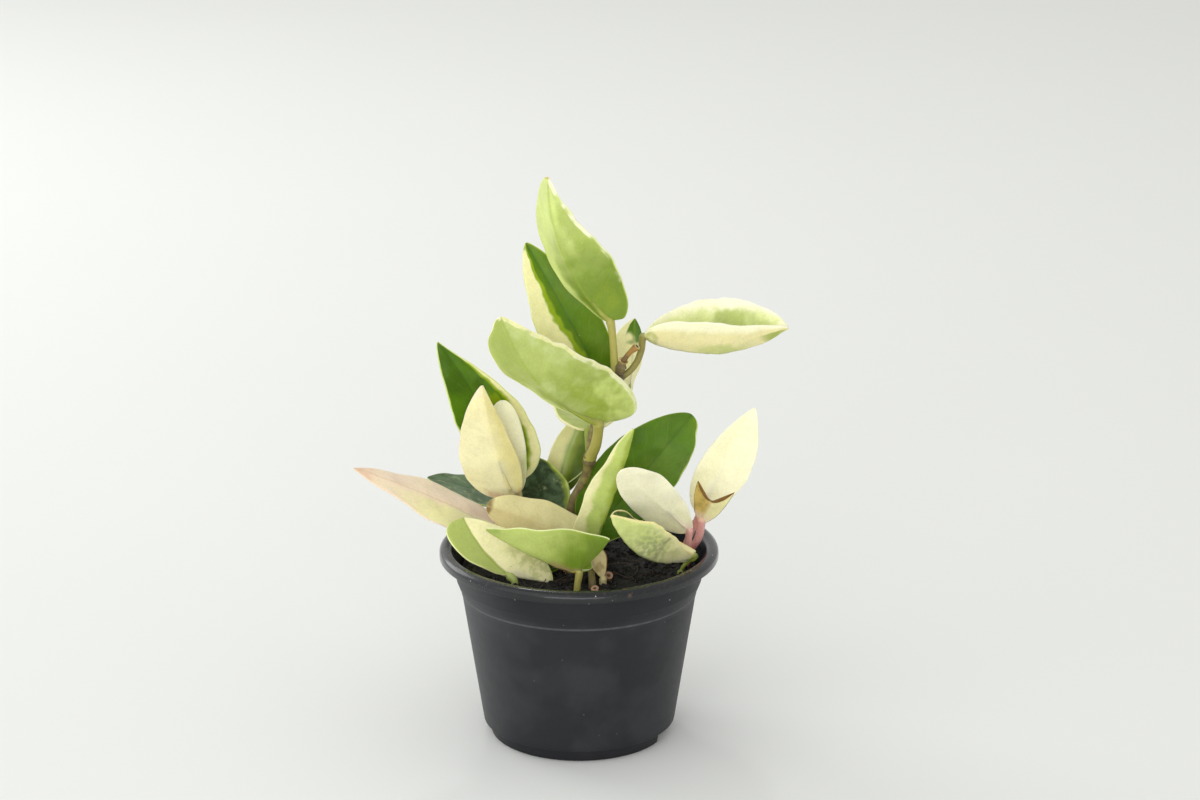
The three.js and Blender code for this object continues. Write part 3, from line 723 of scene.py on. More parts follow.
LEAST_WIDTH = 0.5
KEEL_HEIGHT, KEEL_WIDTH = 0.35, 1.1
GROOVE_DEPTH, GROOVE_WIDTH = 0.28, 0.8
LONG_QUILT, SHORT_QUILT = 11, 4.5
RIPPLES = 2.5


def either(value, across):
    """A value that may be a (left, right) pair, for each place across the blade."""
    left, right = value if isinstance(value, tuple) else (value, value)
    return np.where(across < 0, left, right)


def blade_axes(leaf):
    """The chord, and unit vectors along it, out of the upper side, and to the right."""
    chord = leaf.tip - leaf.base
    ahead = unit(chord)
    out = unit(leaf.faces - ahead * (leaf.faces @ ahead))
    return chord, out, np.cross(ahead, out)


def rib_line(leaf, s):
    """The base plus s times the chord, arched and bowed by the hump 4 s (1 - s)."""
    chord, out, right = blade_axes(leaf)
    s = np.asarray(s, float)[..., None]
    hump = 4 * s * (1 - s)
    return leaf.base + chord * s + out * leaf.arch * hump + right * leaf.bow * hump


def blade_rings(leaf, seed, rows, columns, rib_thickness, margin_thickness, quilting):
    """A blade as closed rings of (s, turn), and its values.

    The middle surface leaves the rib by the half-width times the outline, s to the power round times
    1 - s to the power point, scaled to 1 at its widest, made uneven by slow waves and by bumps, each
    a side, a place, a spread and a height of a bell curve of s. It folds up from the rib by the fold
    angle, curls on by the curl angle and ripples by a sine near the margin. Its basal lobes reach
    back, straight across or, by the heel, in a quarter of a sine, and its horns reach on at the tip.
    The two sides stand half the thickness off it and meet in a round margin. The rib is a groove
    above and a keel below, and crossing waves quilt the whole.
    """
    s = ((1 - np.cos(np.linspace(0, np.pi, rows))) / 2)[:, None]
    turn = np.linspace(0, 2 * np.pi, columns, endpoint=False)[None, :]
    across = -np.cos(turn) + 0 * s
    side = np.where(across < 0, -1.0, 1.0)
    reach = np.abs(across)
    soft_reach = np.sqrt(reach ** 2 + 0.05 ** 2) - 0.05
    rib = rib_line(leaf, s[:, 0])
    step = 1e-3
    ahead = unit(rib_line(leaf, s[:, 0] + step) - rib_line(leaf, s[:, 0] - step))
    out = blade_axes(leaf)[1]
    facing = unit(out - ahead * (ahead @ out)[:, None])
    sideways = np.cross(ahead, facing)
    bend = np.radians(leaf.twist) * s
    normal = (facing * np.cos(bend) + sideways * np.sin(bend))[:, None]
    lateral = (sideways * np.cos(bend) - facing * np.sin(bend))[:, None]

    fold = np.radians(either(leaf.fold, across))
    curl = np.radians(either(leaf.curl, across)) + 1e-6
    power, fall = either(leaf.round, across), either(leaf.point, across)
    widest = power / (power + fall)
    share = (s / widest) ** power * ((1 - s) / (1 - widest)) ** fall
    blade_length = np.linalg.norm(leaf.tip - leaf.base)
    place = np.stack([s * blade_length + 0 * across, side * 20, 0 * across + seed], -1)
    uneven = 1 + leaf.uneven * waviness(place, 8, seed + 2) * np.minimum(1, 5 * s * (1 - s))
    width = LEAST_WIDTH + either(leaf.half, across) * share * uneven
    for on, at, spread, size in leaf.bumps:
        width = width + size * (side == on) * np.exp(-((s - at) / spread) ** 2)
    width = np.maximum(width, LEAST_WIDTH)
    away = (np.sin(fold + curl * reach) - np.sin(fold)) / curl
    rise = (np.cos(fold) - np.cos(fold + curl * soft_reach)) / curl
    ripple = (leaf.wave * reach ** 2 * np.minimum(1, 6 * s * (1 - s))
              * np.sin(2 * np.pi * (RIPPLES * s + np.where(across < 0, 0.5, 0))))
    lobe = either(leaf.lobe, across) * (1 - np.exp(-s / 0.004)) * (1 - s) ** 4
    heel = reach + (np.sin(np.pi / 2 * reach) - reach) * leaf.heel
    back = lobe * heel - either(leaf.horn, across) * share * reach ** 2 * s ** 3

    tilt = fold + curl * reach
    lean = tilt * ease(0, 3, width * reach)
    through = ((normal * np.cos(lean)[..., None] - lateral * (side * np.sin(lean))[..., None])
               / np.maximum(0.6, np.cos(tilt - lean))[..., None])
    middle = (rib[:, None] + lateral * (side * width * away)[..., None]
              + normal * (width * rise + ripple)[..., None] - ahead[:, None] * back[..., None])

    margin = width * (1 - reach)
    thickness = rib_thickness + (margin_thickness - rib_thickness) * reach
    thickness = thickness * (0.55 + 0.45 * ease(1.0, 0.8, s))
    rounding = 1 - np.minimum(1, 2 * margin / margin_thickness)
    half = thickness / 2 * np.sqrt(1 - rounding ** 2)
    over = np.sin(turn) + 0 * s >= 0
    from_rib = width * reach
    growth = ease(0, 0.08, s) * (1 - s) ** 0.5
    keel = KEEL_HEIGHT * np.exp(-(from_rib / KEEL_WIDTH) ** 2) * growth
    groove = GROOVE_DEPTH * np.exp(-(from_rib / GROOVE_WIDTH) ** 2) * growth
    quilt = quilting * (waviness(middle, LONG_QUILT, seed) + 0.35 * waviness(middle, SHORT_QUILT, seed + 1))
    quilt = quilt * ease(0, 2.5, margin) * ease(0, 0.15, s)
    offset = np.where(over, half - groove, -half - keel) + quilt
    rings = middle + through * offset[..., None]
    return rings, {"u": s + 0 * across, "v": (across + 1) / 2, "rim": margin,
                   "upper": over.astype(float), "rib": from_rib}


def stalk_rings(leaf, seed):
    """A stalk's rings: round, thicker at both ends, and thinning into the rib on the under side."""
    out = blade_axes(leaf)[1]
    into = np.linspace(0.06, 0.34, 8)
    under = rib_line(leaf, into) - out * 0.55
    path = smooth_curve([*leaf.stalk, leaf.base, *rib_line(leaf, [0.03]), *under], 72)
    from_base = np.linalg.norm(path - leaf.base, axis=1)
    beyond = (path - leaf.base) @ unit(leaf.tip - leaf.base) > 0
    run, turn = grid(len(path), STALK_SIDES)
    run = run[:, 0]
    blade_length = np.linalg.norm(leaf.tip - leaf.base)
    taper = np.where(beyond, 1 - 0.8 * np.clip(from_base / (0.34 * blade_length), 0, 1) ** 0.6, 1)
    swell = 1 + 0.22 * np.exp(-(run / 0.05) ** 2) + 0.18 * np.exp(-(from_base / 3) ** 2) * (1 - beyond)
    lump = 0.05 * np.sin(4 * np.pi * turn + 9 * run[:, None] + seed) * (1 - beyond[:, None])
    radius = leaf.stalk_radius * (taper * swell)[:, None] * (1 + lump)
    joined = np.interp(run, [0, run[np.argmin(from_base)], 1], [0, 0.8, 1])[:, None]
    values = {"u": joined + 0 * turn, "v": turn, "rim": 9.0, "upper": 0.0, "rib": 0.0}
    return tube(path, radius, STALK_SIDES), values


# ---- Leaves: finish ----

def is_open(kind, end):
    """Whether a patch's end lies on the blade's border or past it, so that nothing is cut off there."""
    return end < 0 if kind == "rim" else abs(end) >= 1


def masked(skin, patch, places, upper, wander, clouds):
    """Where a patch lies, from 0 to 1: its stretches multiplied together."""
    mask = 1.0
    for kind, place in places.items():
        ends = getattr(patch, kind)
        if ends is None:
            continue
        shifted = place + wander * patch.wander
        for sign, end in zip((1, -1), ends if isinstance(ends, tuple) else (-1, ends)):
            if isinstance(end, tuple):
                end = places["s"] * (end[1] - end[0]) + end[0]
            elif is_open(kind, end):
                continue
            inside = shifted - end if sign > 0 else end - shifted
            mask = inside.rise(-patch.soft, patch.soft) * mask
    if patch.face:
        mask = (upper if patch.face > 0 else 1 - upper) * mask
    if patch.patchy:
        size, level = patch.patchy
        if size not in clouds:
            clouds[size] = skin.noise(size, 2.0, 0.55)
        mask = clouds[size].rise(level - 0.1, level + 0.1) * mask
    return mask * patch.amount


def blade_finish(name, leaf):
    """The waxy skin of a blade: its patches, veins, specks, rib and margin, over one ground."""
    skin = Finish(name, leaf.ground)
    along, over = skin.along_across()
    rim, upper, from_rib = skin.value("rim"), skin.value("upper"), skin.value("rib")
    places = {"s": along, "across": over * 2 - 1, "rim": rim}
    wander = (skin.noise(5.5, 1.0) - 0.5) * 2.4
    clouds = {}
    for patch in leaf.patches:
        skin.lay(masked(skin, patch, places, upper, wander, clouds), patch.colour)

    # Side veins slant from the rib to the tip, and fade at the rib and at the margin.
    slant = (along * 11 - abs(places["across"]) * 2.6 + wander * 0.35) * math.pi
    veins = (1 - abs(slant.wave()).rise(0.0, 0.24)) * from_rib.rise(0.5, 2.5) * rim.rise(1.0, 4.0)
    skin.lay(veins * 0.05, "mist")
    skin.lay((1 - from_rib.rise(0.2, 0.7)) * 0.35, leaf.rib)
    if leaf.speckle:
        tone, spacing, radius = leaf.speckle
        skin.lay(skin.specks(spacing, radius) * skin.noise(9.0).rise(0.5, 0.62) * 0.5, tone)
    skin.lay((1 - rim.rise(0.08, 0.3)) * 0.6, leaf.edge)
    fine, coarse = skin.noise(0.9, 3.0, 0.6), skin.noise(8.0)
    shade = (fine - 0.5) * 0.26 + (coarse - 0.5) * 0.26 + 0.98
    skin.lay(1.0, skin.node("ShaderNodeCombineColor", {}, {0: shade, 1: shade, 2: shade}), "MULTIPLY")

    roughness = (fine - 0.5) * 0.16 + (coarse - 0.5) * 0.2 + bpy.context.scene.hoya_leaves.roughness
    height = fine * 0.25 + coarse * 0.6 - veins * 0.25 - skin.specks(2.2, 0.35) * 0.08
    return skin.done(roughness, skin.bump(height, 0.22), specular_ior_level=0.18, subsurface_weight=0.4,
                     subsurface_scale=2.2 * MM, subsurface_radius=(1.0, 0.95, 0.55))


def stalk_finish(name, leaf):
    """A stalk's skin, from its foot's colour to its top's, with streaks, rusty freckles and painted shade
    down one side.
    """
    foot, top = leaf.stalks
    skin = Finish(name, foot)
    along, turn = skin.along_across()
    wander = (skin.noise(3.0) - 0.5) * 0.2
    stands_in_soil = leaf.stalk[0][2] < ROOT_HEIGHT + 1
    skin.lay((along + wander).rise(*((0.1, 0.6) if stands_in_soil else (0.0, 0.14))), top)
    skin.lay(along.rise(0.78, 0.86) * 0.8, leaf.rib)
    streak = skin.noise(0.8, 3.0, 0.65)
    skin.lay(streak.rise(0.5, 0.7) * 0.3, foot)
    # Painted shade: one side of the stalk, round its circumference, is darkened with the bark colour.
    skin.lay((turn * 2 * math.pi).wave().rise(0.55, 0.95) * 0.18, "bark")
    freckles = skin.specks(1.6, 0.22)
    skin.lay(freckles * 0.25, "brown")
    return skin.done((streak - 0.5) * 0.2 + 0.46, skin.bump(streak + freckles * 0.3, 0.16),
                     subsurface_weight=0.08, subsurface_scale=1 * MM)


def grow(names):
    """Makes the named leaves, each standing for the node of its name."""
    sizes = bpy.context.scene.hoya_leaves
    thickness = [size / MM for size in (sizes.rib_thickness, sizes.margin_thickness, sizes.quilting)]
    for name in names:
        leaf = LEAVES[name]
        seed = SEED + 3 * sorted(LEAVES).index(name)
        shell = Shell()
        shell.add(*blade_rings(leaf, seed, sizes.rows, sizes.columns, *thickness))
        shell.add(*stalk_rings(leaf, seed), slot=1)
        skins = [blade_finish(name + "_skin", leaf), stalk_finish(name + "_stalk", leaf)]
        settle(shell.make(name + "_fine", skins), [name])


def settle(piece, nodes):
    """Puts a piece on the plant's one body and hides the model parts that it stands for."""
    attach(piece, "root")
    if nodes:
        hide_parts(*nodes)


# ---- Stems and stubs ----

MAIN_PATH = [(-5, 9, ROOT_HEIGHT), (-5, 9, 70), (-2, 8, 89), (2, 7, 97), (4, 5, 106), (5, 5, 116),
             (8, 5, 125), (11, 4, 130), (13, 1, 136), (15, 0, 141)]
MAIN_JOINTS = [(4, 5, 106), (11, 4, 130), (14.5, 0, 141)]
SPUR_PATH = [(14.3, 0, 140.5), (15.3, -1.2, 143.4), (16.4, -2, 146.6)]
FLOWER_PATH = [(15.6, -1.4, 145), (17.2, -2.4, 147.8), (19.2, -3.2, 150.6), (21.5, -4, 152.9)]
LEFT_PATH = [(-19, 13, ROOT_HEIGHT), (-19, 13, 70), (-22, 14, 79), (-23.5, 14, 86.5)]
STUBS = {
    "stub_round": (1.55, [(10.5, -14.5, 62.5), (10.8, -15.6, 66), (11.1, -17, 67.8)]),
    "stub_low": (1.35, [(6.2, -28.4, 62.5), (6.2, -28.8, 66), (6, -29.4, 67.4)]),
}


def stem_rings(path, radius, joints, seed):
    """A stem that swells round its joints, by a bell curve of the distance, with a wrinkled bark."""
    line = smooth_curve(path, 260)
    far = np.linalg.norm(line[:, None] - np.array(joints, float)[None], axis=2)
    swell = (0.75 * np.exp(-(far / 2.4) ** 2)).sum(1) + (0.3 * np.exp(-((far - 1.2) / 0.4) ** 2)).sum(1)
    rings = tube(line, radius + swell, 40)
    bark = waviness(rings * (1, 1, 0.4), 1.6, seed) * 0.09 + waviness(rings, 5, seed + 1) * 0.1
    outward = unit(rings - line[:, None])
    along, turn = grid(260, 40)
    joint = np.exp(-(far.min(1) / 3) ** 2)[:, None]
    return rings + outward * bark[..., None], {"u": along, "v": turn, "joint": joint, "cut": 0.0}


def cut_shoot(path, radius, seed, hole=0.55, depth=1.0, flare=0.12):
    """A cut shoot: a tube whose end turns back inside, down to a shallow dark hole."""
    line = smooth_curve(path, 40)
    tangent = unit(np.gradient(line, axis=0))
    end, ahead = line[-1], tangent[-1]
    inside = np.array([0.16, 0.2, 0.1, -0.3, -depth])[:, None]
    reach = radius * (1 + flare * ease(-4, 0, -np.linalg.norm(line - end, axis=1)))
    back = radius * np.array([1.02 + flare, 0.9 + flare, hole + 0.1, hole, hole * 0.85])
    whole = np.vstack([line, end + ahead * inside])
    tangents = np.vstack([tangent, np.repeat(ahead[None], 5, 0)])
    rings = tube(whole, np.concatenate([reach, back]), 32, tangents)
    rings = rings + unit(rings - whole[:, None]) * (waviness(rings, 1.5, seed) * 0.07)[..., None]
    along, turn = grid(len(whole), 32)
    cut = np.concatenate([np.zeros(len(line)), [0.5, 1, 1.5, 2, 2]])[:, None]
    return rings, {"u": along, "v": turn, "joint": 0.0, "cut": cut}


def scar_ring(middle, axis, radius, thickness):
    """The raised scar round a spur: a round tube carried once round a circle about its axis."""
    axis = unit(np.array(axis, float))
    sideways = unit(np.cross(axis, (0, 0, 1)))
    along, turn = grid(41, 10)
    angle = 2 * np.pi * along[:, :1]
    circle = sideways * np.cos(angle) + np.cross(axis, sideways) * np.sin(angle)
    path = np.array(middle, float) + circle * radius * (1 + 0.06 * np.sin(3 * angle))
    return tube(path, thickness, 10), {"u": along, "v": turn, "joint": 0.0, "cut": 0.0}


def bark_finish(name, ground, young, dark, rim="beige", pith_and_hole_shade="shadow"):
    """Woody skin: lengthwise wrinkles, rusty joints, greener young wood, darker low down, and a cut with a
    pale rim, whose hole's floor takes the pith colour.
    """
    skin = Finish(name, ground)
    along = skin.along_across()[0]
    joint, cut = skin.value("joint"), skin.value("cut")
    wrinkle = skin.noise(0.7, 4.0, 0.65, skin.stretched(skin.place, (1.0, 1.0, 0.25)))
    cloud = skin.noise(4.0, 3.0, 0.6)
    skin.lay(cloud.rise(0.4, 0.62) * 0.5, young)
    skin.lay(wrinkle.rise(0.45, 0.7) * 0.4, dark)
    skin.lay((0.48 - along).rise(0, 0.06) * 0.6, dark)
    skin.lay(joint * 0.6, dark)
    skin.lay(skin.specks(1.7, 0.25) * 0.5, "beige")
    skin.lay(cut.rise(0.3, 0.8), rim)
    # The floor of the cut's hole: brown pith on the cut shoots, and by default the darkest green, painted
    # shade in the flower stalk's hole.
    skin.lay(cut.rise(1.2, 1.7), pith_and_hole_shade)
    return skin.done((wrinkle - 0.5) * 0.25 + 0.58, skin.bump(wrinkle + cloud * 0.4, 0.3))


# ---- Pot ----

# Painted shade on the collar under the lip.
COLLAR_PAINTED_SHADE = (0.006, 0.009, 0.012, 1)
# Painted shade on the lip, standing for the dark reflections on its gloss.
LIP_PAINTED_SHADE = (0.004, 0.005, 0.006, 1)
# Painted shade on the foot, by the floor.
FOOT_PAINTED_SHADE = (0.006, 0.006, 0.008, 1)
NOTCH_SIZE = (10, 16, 8.8)


def pot_profile(height, lip, foot):
    """The turned section: foot, ledge, wall with its moulding line, collar, lip, and back inside."""
    return rounded([
        (4, 0, 1), (foot - 0.7, 0, 0.5), (foot, 4.8, 0.25), (foot + 2, 4.8, 0.5),
        (44.1, 55.2, 0.2), (44.4, 56.0, 0.2), (44.55, 57.0, 0.35), (45.9, 60.6, 0.6),
        (46.25, 61.4, 0.4), (47.2, height - 5, 0.4), (47.6, height - 1.8, 0.6),
        (lip - 1.3, height - 2.2, 0.3), (lip - 1, height - 4, 0.25), (lip, height - 4, 0.3),
        (lip, height - 1.4, 0.9), (lip - 1.6, height - 0.05, 0.9), (lip - 3.6, height, 0.7),
        (lip - 4.6, height - 1, 0.6), (46.4, height - 4, 0.5), (45.1, 61.2, 0.5), (43.4, 57.3, 0.4),
        (foot + 1, 5.8, 0.4), (foot - 1.6, 1.6, 0.3), (4, 1.6, 0.5)])


def drained(shell_object, foot):
    """Cuts the two drain notches out of the foot with a box each, and keeps the result."""
    cutters = []
    for degrees in (-15, 165):
        bpy.ops.mesh.primitive_cube_add(size=1)
        cutter = bpy.context.object
        angle = math.radians(degrees)
        cutter.scale = [size * MM for size in NOTCH_SIZE]
        cutter.rotation_euler[2] = angle
        cutter.location = (foot * MM * math.cos(angle), foot * MM * math.sin(angle), 0)
        modifier = shell_object.modifiers.new("drain", "BOOLEAN")
        modifier.operation = "DIFFERENCE"
        modifier.solver = "MANIFOLD"
        modifier.object = cutter
        cutters.append(cutter)
    bpy.context.view_layer.update()
    cut = bpy.data.meshes.new_from_object(
        shell_object.evaluated_get(bpy.context.evaluated_depsgraph_get()))
    if len(cut.polygons) == 0:
        raise RuntimeError("The drain notches left nothing of the pot.")
    cut.set_sharp_from_angle(angle=math.radians(50))
    shell_object.modifiers.clear()
    shell_object.data = cut
    for cutter in cutters:
        bpy.data.objects.remove(cutter)


def plastic_finish():
    """Satin charcoal plastic with scuffs, fine scratches, dust specks and dried soil by the lip, with
    painted light: a painted sheen on its left side, a painted highlight along the moulding line, and painted
    shade on the collar, the lip and the foot.
    """
    skin = Finish("pot_charcoal", "plastic", "hoya_pot")
    side, front, height = skin.parts(skin.place)
    cloud, grain = skin.noise(22.0, 3.0, 0.55), skin.noise(0.5)
    fine = skin.noise(3.0, 4.0, 0.65)
    scratch = skin.noise(1.1, place=skin.stretched(skin.place, (1.0, 1.0, 0.12))).rise(0.7, 0.76)
    scratch = scratch * cloud.rise(0.52, 0.64)
    near_lip = height.rise(68, 71)
    # Painted highlight: a thin band along the moulding line is lightened with the scuff colour.
    moulding_highlight = height.rise(56.2, 56.5) * (1 - height.rise(57.0, 57.4))
    skin.lay(cloud.rise(0.4, 0.66) * 0.05, "scuff")
    skin.lay(scratch * 0.08, "scuff")
    # Painted shade: the collar and all above it are darkened.
    skin.lay(height.rise(57.5, 60) * 0.7, COLLAR_PAINTED_SHADE)
    skin.lay(moulding_highlight * (fine * 0.3 + 0.05), "scuff")
    # Painted sheen: the left side of the pot is lightened with the scuff colour, standing for light from the
    # left.
    skin.lay((1 - side.rise(-52, -20)) * 0.22, "scuff")
    # Painted shade: the lip is darkened further, standing for the dark room that its gloss reflects.
    skin.lay(near_lip * 0.5, LIP_PAINTED_SHADE)
    most = side.rise(8, 13) * (1 - side.rise(19, 24)) * 0.8 + 0.2
    dirt = fine.rise(0.56, 0.66) * height.rise(70.5, 72.5) * (1 - front.rise(-38, -25)) * most
    skin.lay(dirt * 0.7, "dirt")
    dust = skin.specks(3.6, 0.32) * skin.noise(7.0).rise(0.5, 0.58) * (height.rise(52, 66) * 0.9 + 0.1)
    skin.lay(dust * 0.8, "dust")
    # Painted shade: the lowest few millimetres of the pot are darkened where it meets the floor.
    skin.lay((1 - height.rise(3, 8)) * 0.45, FOOT_PAINTED_SHADE)
    roughness = (cloud - 0.5) * 0.16 + (fine - 0.5) * 0.14 + 0.5 - near_lip * 0.24
    roughness = roughness + dirt * 0.4 + dust * 0.3
    normal = skin.bump(grain * 0.35 + cloud * 0.5 - scratch * 0.2 + dirt * 0.6, 0.12)
    skin.feed(skin.shader.inputs["Coat Weight"], near_lip * 0.4)
    return skin.done(roughness, normal, specular_ior_level=0.3, coat_roughness=0.1)


# ---- Soil ----

SOIL_RADIUS = 44.4
CRUMB_REACH = 43.2


def soil_bump(x, y):
    """The height of the soil's rough top above its mean: two slow crossing sines."""
    return 0.45 * (np.sin(0.42 * x + 0.3 * y) + np.sin(0.37 * y - 0.23 * x + 1))


def soil_rings(soil_height):
    """The fill as a turned piece, bottom, side and top, whose top is roughened by crossing waves."""
    side = rounded([(4, 1.9, 0.5), (31.9, 1.9, 0.5), (35.3, 6.8, 0.5), (43.0, 57, 0.5),
                    (SOIL_RADIUS, 62.5, 0.4), (SOIL_RADIUS, soil_height - 1.2, 0.6)], 4)
    radii = np.linspace(SOIL_RADIUS - 0.6, 0.05, 110)
    top = np.stack([radii, np.full_like(radii, soil_height)], 1)
    rings = turned(np.vstack([side, top]), 220)
    x, y, z = rings[..., 0], rings[..., 1], rings[..., 2]
    flat = np.stack([x, y, 0 * x], -1)
    rough = soil_bump(x, y)
    for step, (size, height) in enumerate(((7, 0.45), (2.2, 0.35), (1.0, 0.22))):
        rough = rough + waviness(flat, size, SEED + step) * height
    rough = rough * ease(SOIL_RADIUS - 0.2, 42, np.hypot(x, y))
    rings[..., 2] = z + np.where(z > soil_height - 0.6, rough, 0)
    return rings


def crumb_rings(count, soil_height):
    """Low lumps scattered on the soil: each is a sphere in two angles, squashed and knocked about."""
    random = np.random.default_rng(SEED + 5)
    angle = random.uniform(0, 2 * np.pi, count)
    radius = CRUMB_REACH * np.sqrt(random.uniform(0, 1, count))
    x, y = radius * np.cos(angle), radius * np.sin(angle)
    size = 0.35 + random.exponential(0.35, count).clip(0, 1.2)
    tall = np.linspace(-0.93, 0.93, 5)
    turn = np.linspace(0, 2 * np.pi, 7, endpoint=False)
    ball = np.stack([np.sqrt(1 - tall ** 2)[:, None] * np.cos(turn),
                     np.sqrt(1 - tall ** 2)[:, None] * np.sin(turn),
                     tall[:, None] + 0 * turn], -1)
    stretch = random.uniform(0.6, 1.35, (count, 1, 1, 3))
    knock = random.uniform(0.82, 1.18, (count, 5, 7, 1))
    middle = np.stack([x, y, soil_height + soil_bump(x, y) + size * 0.25], 1)[:, None, None]
    return middle + ball[None] * size[:, None, None, None] * stretch * knock


def fibre_paths(count, soil_height):
    """Thin root hairs on the soil: each is a short arc that bends by a random amount."""
    random = np.random.default_rng(SEED + 7)
    share = np.linspace(-0.5, 0.5, 12)[None, :]
    angle = random.uniform(0, 2 * np.pi, (count, 1))
    radius = 40 * np.sqrt(random.uniform(0, 1, (count, 1)))
    x, y = radius * np.cos(angle), radius * np.sin(angle)
    heading = random.uniform(0, 2 * np.pi, (count, 1)) + random.normal(0, 0.5, (count, 1)) * share
    size = random.uniform(3, 9, (count, 1))
    xs = x + size * share * np.cos(heading)
    ys = y + size * share * np.sin(heading)
    keep = np.minimum(1, CRUMB_REACH / np.hypot(xs, ys))
    lift = random.uniform(0.1, 1.3, (count, 1)) * (1 - (2 * share) ** 2)
    zs = soil_height + soil_bump(xs * keep, ys * keep) + 0.35 + lift
    return np.stack([xs * keep, ys * keep, zs], -1)


def soil_finish(name, ground, dry, share):
    """Damp, nearly black crumbs with dry brown ones among them."""
    skin = Finish(name, ground, "hoya_pot")
    lump = skin.noise(1.4, 4.0, 0.7)
    skin.lay(lump.rise(0.58 - share, 0.76 - share), dry)
    skin.lay(skin.noise(9.0, 3.0).rise(0.45, 0.65) * 0.5, "soil")
    skin.lay(skin.specks(4.0, 0.25) * 0.6, "dust")
    return skin.done((lump - 0.5) * 0.3 + 0.8, skin.bump(lump + skin.noise(0.5), 0.5))


# ---- Operators ----

class HOYA_OT_pot(bpy.types.Operator):
    """Turn the nursery pot and cut its drain notches"""
    bl_idname = "hoya.pot"
    bl_label = "Pot"

    def execute(self, context):
        sizes = context.scene.hoya_pot
        foot = sizes.foot_radius / MM
        shell = Shell()
        shell.add(turned(pot_profile(sizes.height / MM, sizes.lip_radius / MM, foot), 256))
        pot = shell.make("pot_turned", [plastic_finish()])
        drained(pot, foot)
        settle(pot, ["pot"])
        return {"FINISHED"}


class HOYA_OT_soil(bpy.types.Operator):
    """Fill the pot with soil, crumbs and root hairs"""
    bl_idname = "hoya.soil"
    bl_label = "Soil"

    def execute(self, context):
        height = context.scene.hoya_pot.soil_height / MM
        fibres = [tube(path, 0.17, 5) for path in fibre_paths(120, height)]
        for name, nodes, pieces, skin in (
                ("soil_fill", ["soil"], [soil_rings(height)], ("soil_damp", "soil", "crumb", 0.0)),
                ("soil_crumbs", [], crumb_rings(900, height), ("soil_crumb", "soil", "crumb", 0.05)),
                ("soil_fibres", [], fibres, ("soil_fibre", "crumb", "dirt", 0.1))):
            shell = Shell()
            for rings in pieces:
                shell.add(rings)
            settle(shell.make(name, [soil_finish(*skin)]), nodes)
        return {"FINISHED"}


class HOYA_OT_stems(bpy.types.Operator):
    """Grow the two woody stems, the cut flower stalk and the cut shoots"""
    bl_idname = "hoya.stems"
    bl_label = "Stems and cut shoots"

    def execute(self, context):
        bark = bark_finish("stem_bark", "wood", "straw", "bark")
        flower = bark_finish("flower_stalk", "rust", "brown", "bark")
        ring = bark_finish("bud_scar", "beige", "gold", "brown")
        main = Shell()
        main.add(*stem_rings(MAIN_PATH, 1.75, MAIN_JOINTS, SEED + 20))
        main.add(*stem_rings(SPUR_PATH, 1.25, SPUR_PATH[1:2], SEED + 21))
        main.add(*cut_shoot(FLOWER_PATH, 0.95, SEED + 22, depth=1.8, flare=0.45), slot=1)
        main.add(*scar_ring((16.5, -2.1, 146.8), (0.4, -0.35, 0.8), 1.5, 0.3), slot=2)
        settle(main.make("stem_main_fine", [bark, flower, ring]), ["stem_main"])
        left = Shell()
        left.add(*stem_rings(LEFT_PATH, 1.8, LEFT_PATH[-1:], SEED + 23))
        settle(left.make("stem_left_fine", [bark]), ["stem_left"])
        shoot = bark_finish("shoot_skin", "wood", "clay", "brown", "clay", "bark")
        for name, (radius, path) in STUBS.items():
            stub = Shell()
            stub.add(*cut_shoot(path, radius, SEED + 25, hole=0.3, depth=0.45, flare=0.05))
            settle(stub.make(name + "_fine", [shoot]), [name])
        return {"FINISHED"}


class HOYA_OT_upper_leaves(bpy.types.Operator):
    """Grow the leaves of the main stem"""
    bl_idname = "hoya.upper_leaves"
    bl_label = "Upper leaves"

    def execute(self, context):
        grow(["leaf_top", "leaf_top_behind", "leaf_front_wide", "leaf_right_boat", "leaf_cream_back",
              "leaf_pointing_back", "leaf_behind_stem"])
        return {"FINISHED"}


class HOYA_OT_left_leaves(bpy.types.Operator):
    """Grow the leaves of the short left stem"""
    bl_idname = "hoya.left_leaves"
    bl_label = "Left leaves"

    def execute(self, context):
        grow(["leaf_left_tall", "leaf_left_cream", "leaf_left_white", "leaf_left_flat", "leaf_pink",
              "leaf_mottled_middle"])
        return {"FINISHED"}


class HOYA_OT_rooted_leaves(bpy.types.Operator):
    """Grow the leaves whose stalks stand in the soil"""
    bl_idname = "hoya.rooted_leaves"
    bl_label = "Rooted leaves"

    def execute(self, context):
        grow(["leaf_beige", "leaf_over_lip", "leaf_middle_upright", "leaf_front_folded", "leaf_low_dark",
              "leaf_dark_wide", "leaf_cream_spoon", "leaf_right_mottled", "leaf_right_white", "leaf_stump",
              "leaf_scrap"])
        return {"FINISHED"}


# ---- Stage ----

CAMERA_PLACE = (0.0079, -1.2206, 0.5228)
CAMERA_TILT = math.radians(90 - 17.8)
CAMERA_LENS = 103.6
PLANT_MIDDLE = (0, 0, 0.12)
BACKDROP_MIDDLE = (-0.5, 0.6, 0)


def lay_floor(scene, reach=6, drop=0.0002):
    """A plain square floor, just under the pot, reaching out by reach metres."""
    mesh = bpy.data.meshes.new("floor")
    corners = [(x * reach, y * reach, -drop) for x, y in ((-1, -1), (1, -1), (1, 1), (-1, 1))]
    mesh.from_pydata(corners, [], [(0, 1, 2, 3)])
    skin = Finish("floor_paper", "floor", "hoya_stage")
    skin.lay(skin.noise(180.0) * 0.06, (0.62, 0.63, 0.62, 1))
    mesh.materials.append(skin.done(0.85))
    floor = bpy.data.objects.new("floor", mesh)
    scene.collection.objects.link(floor)


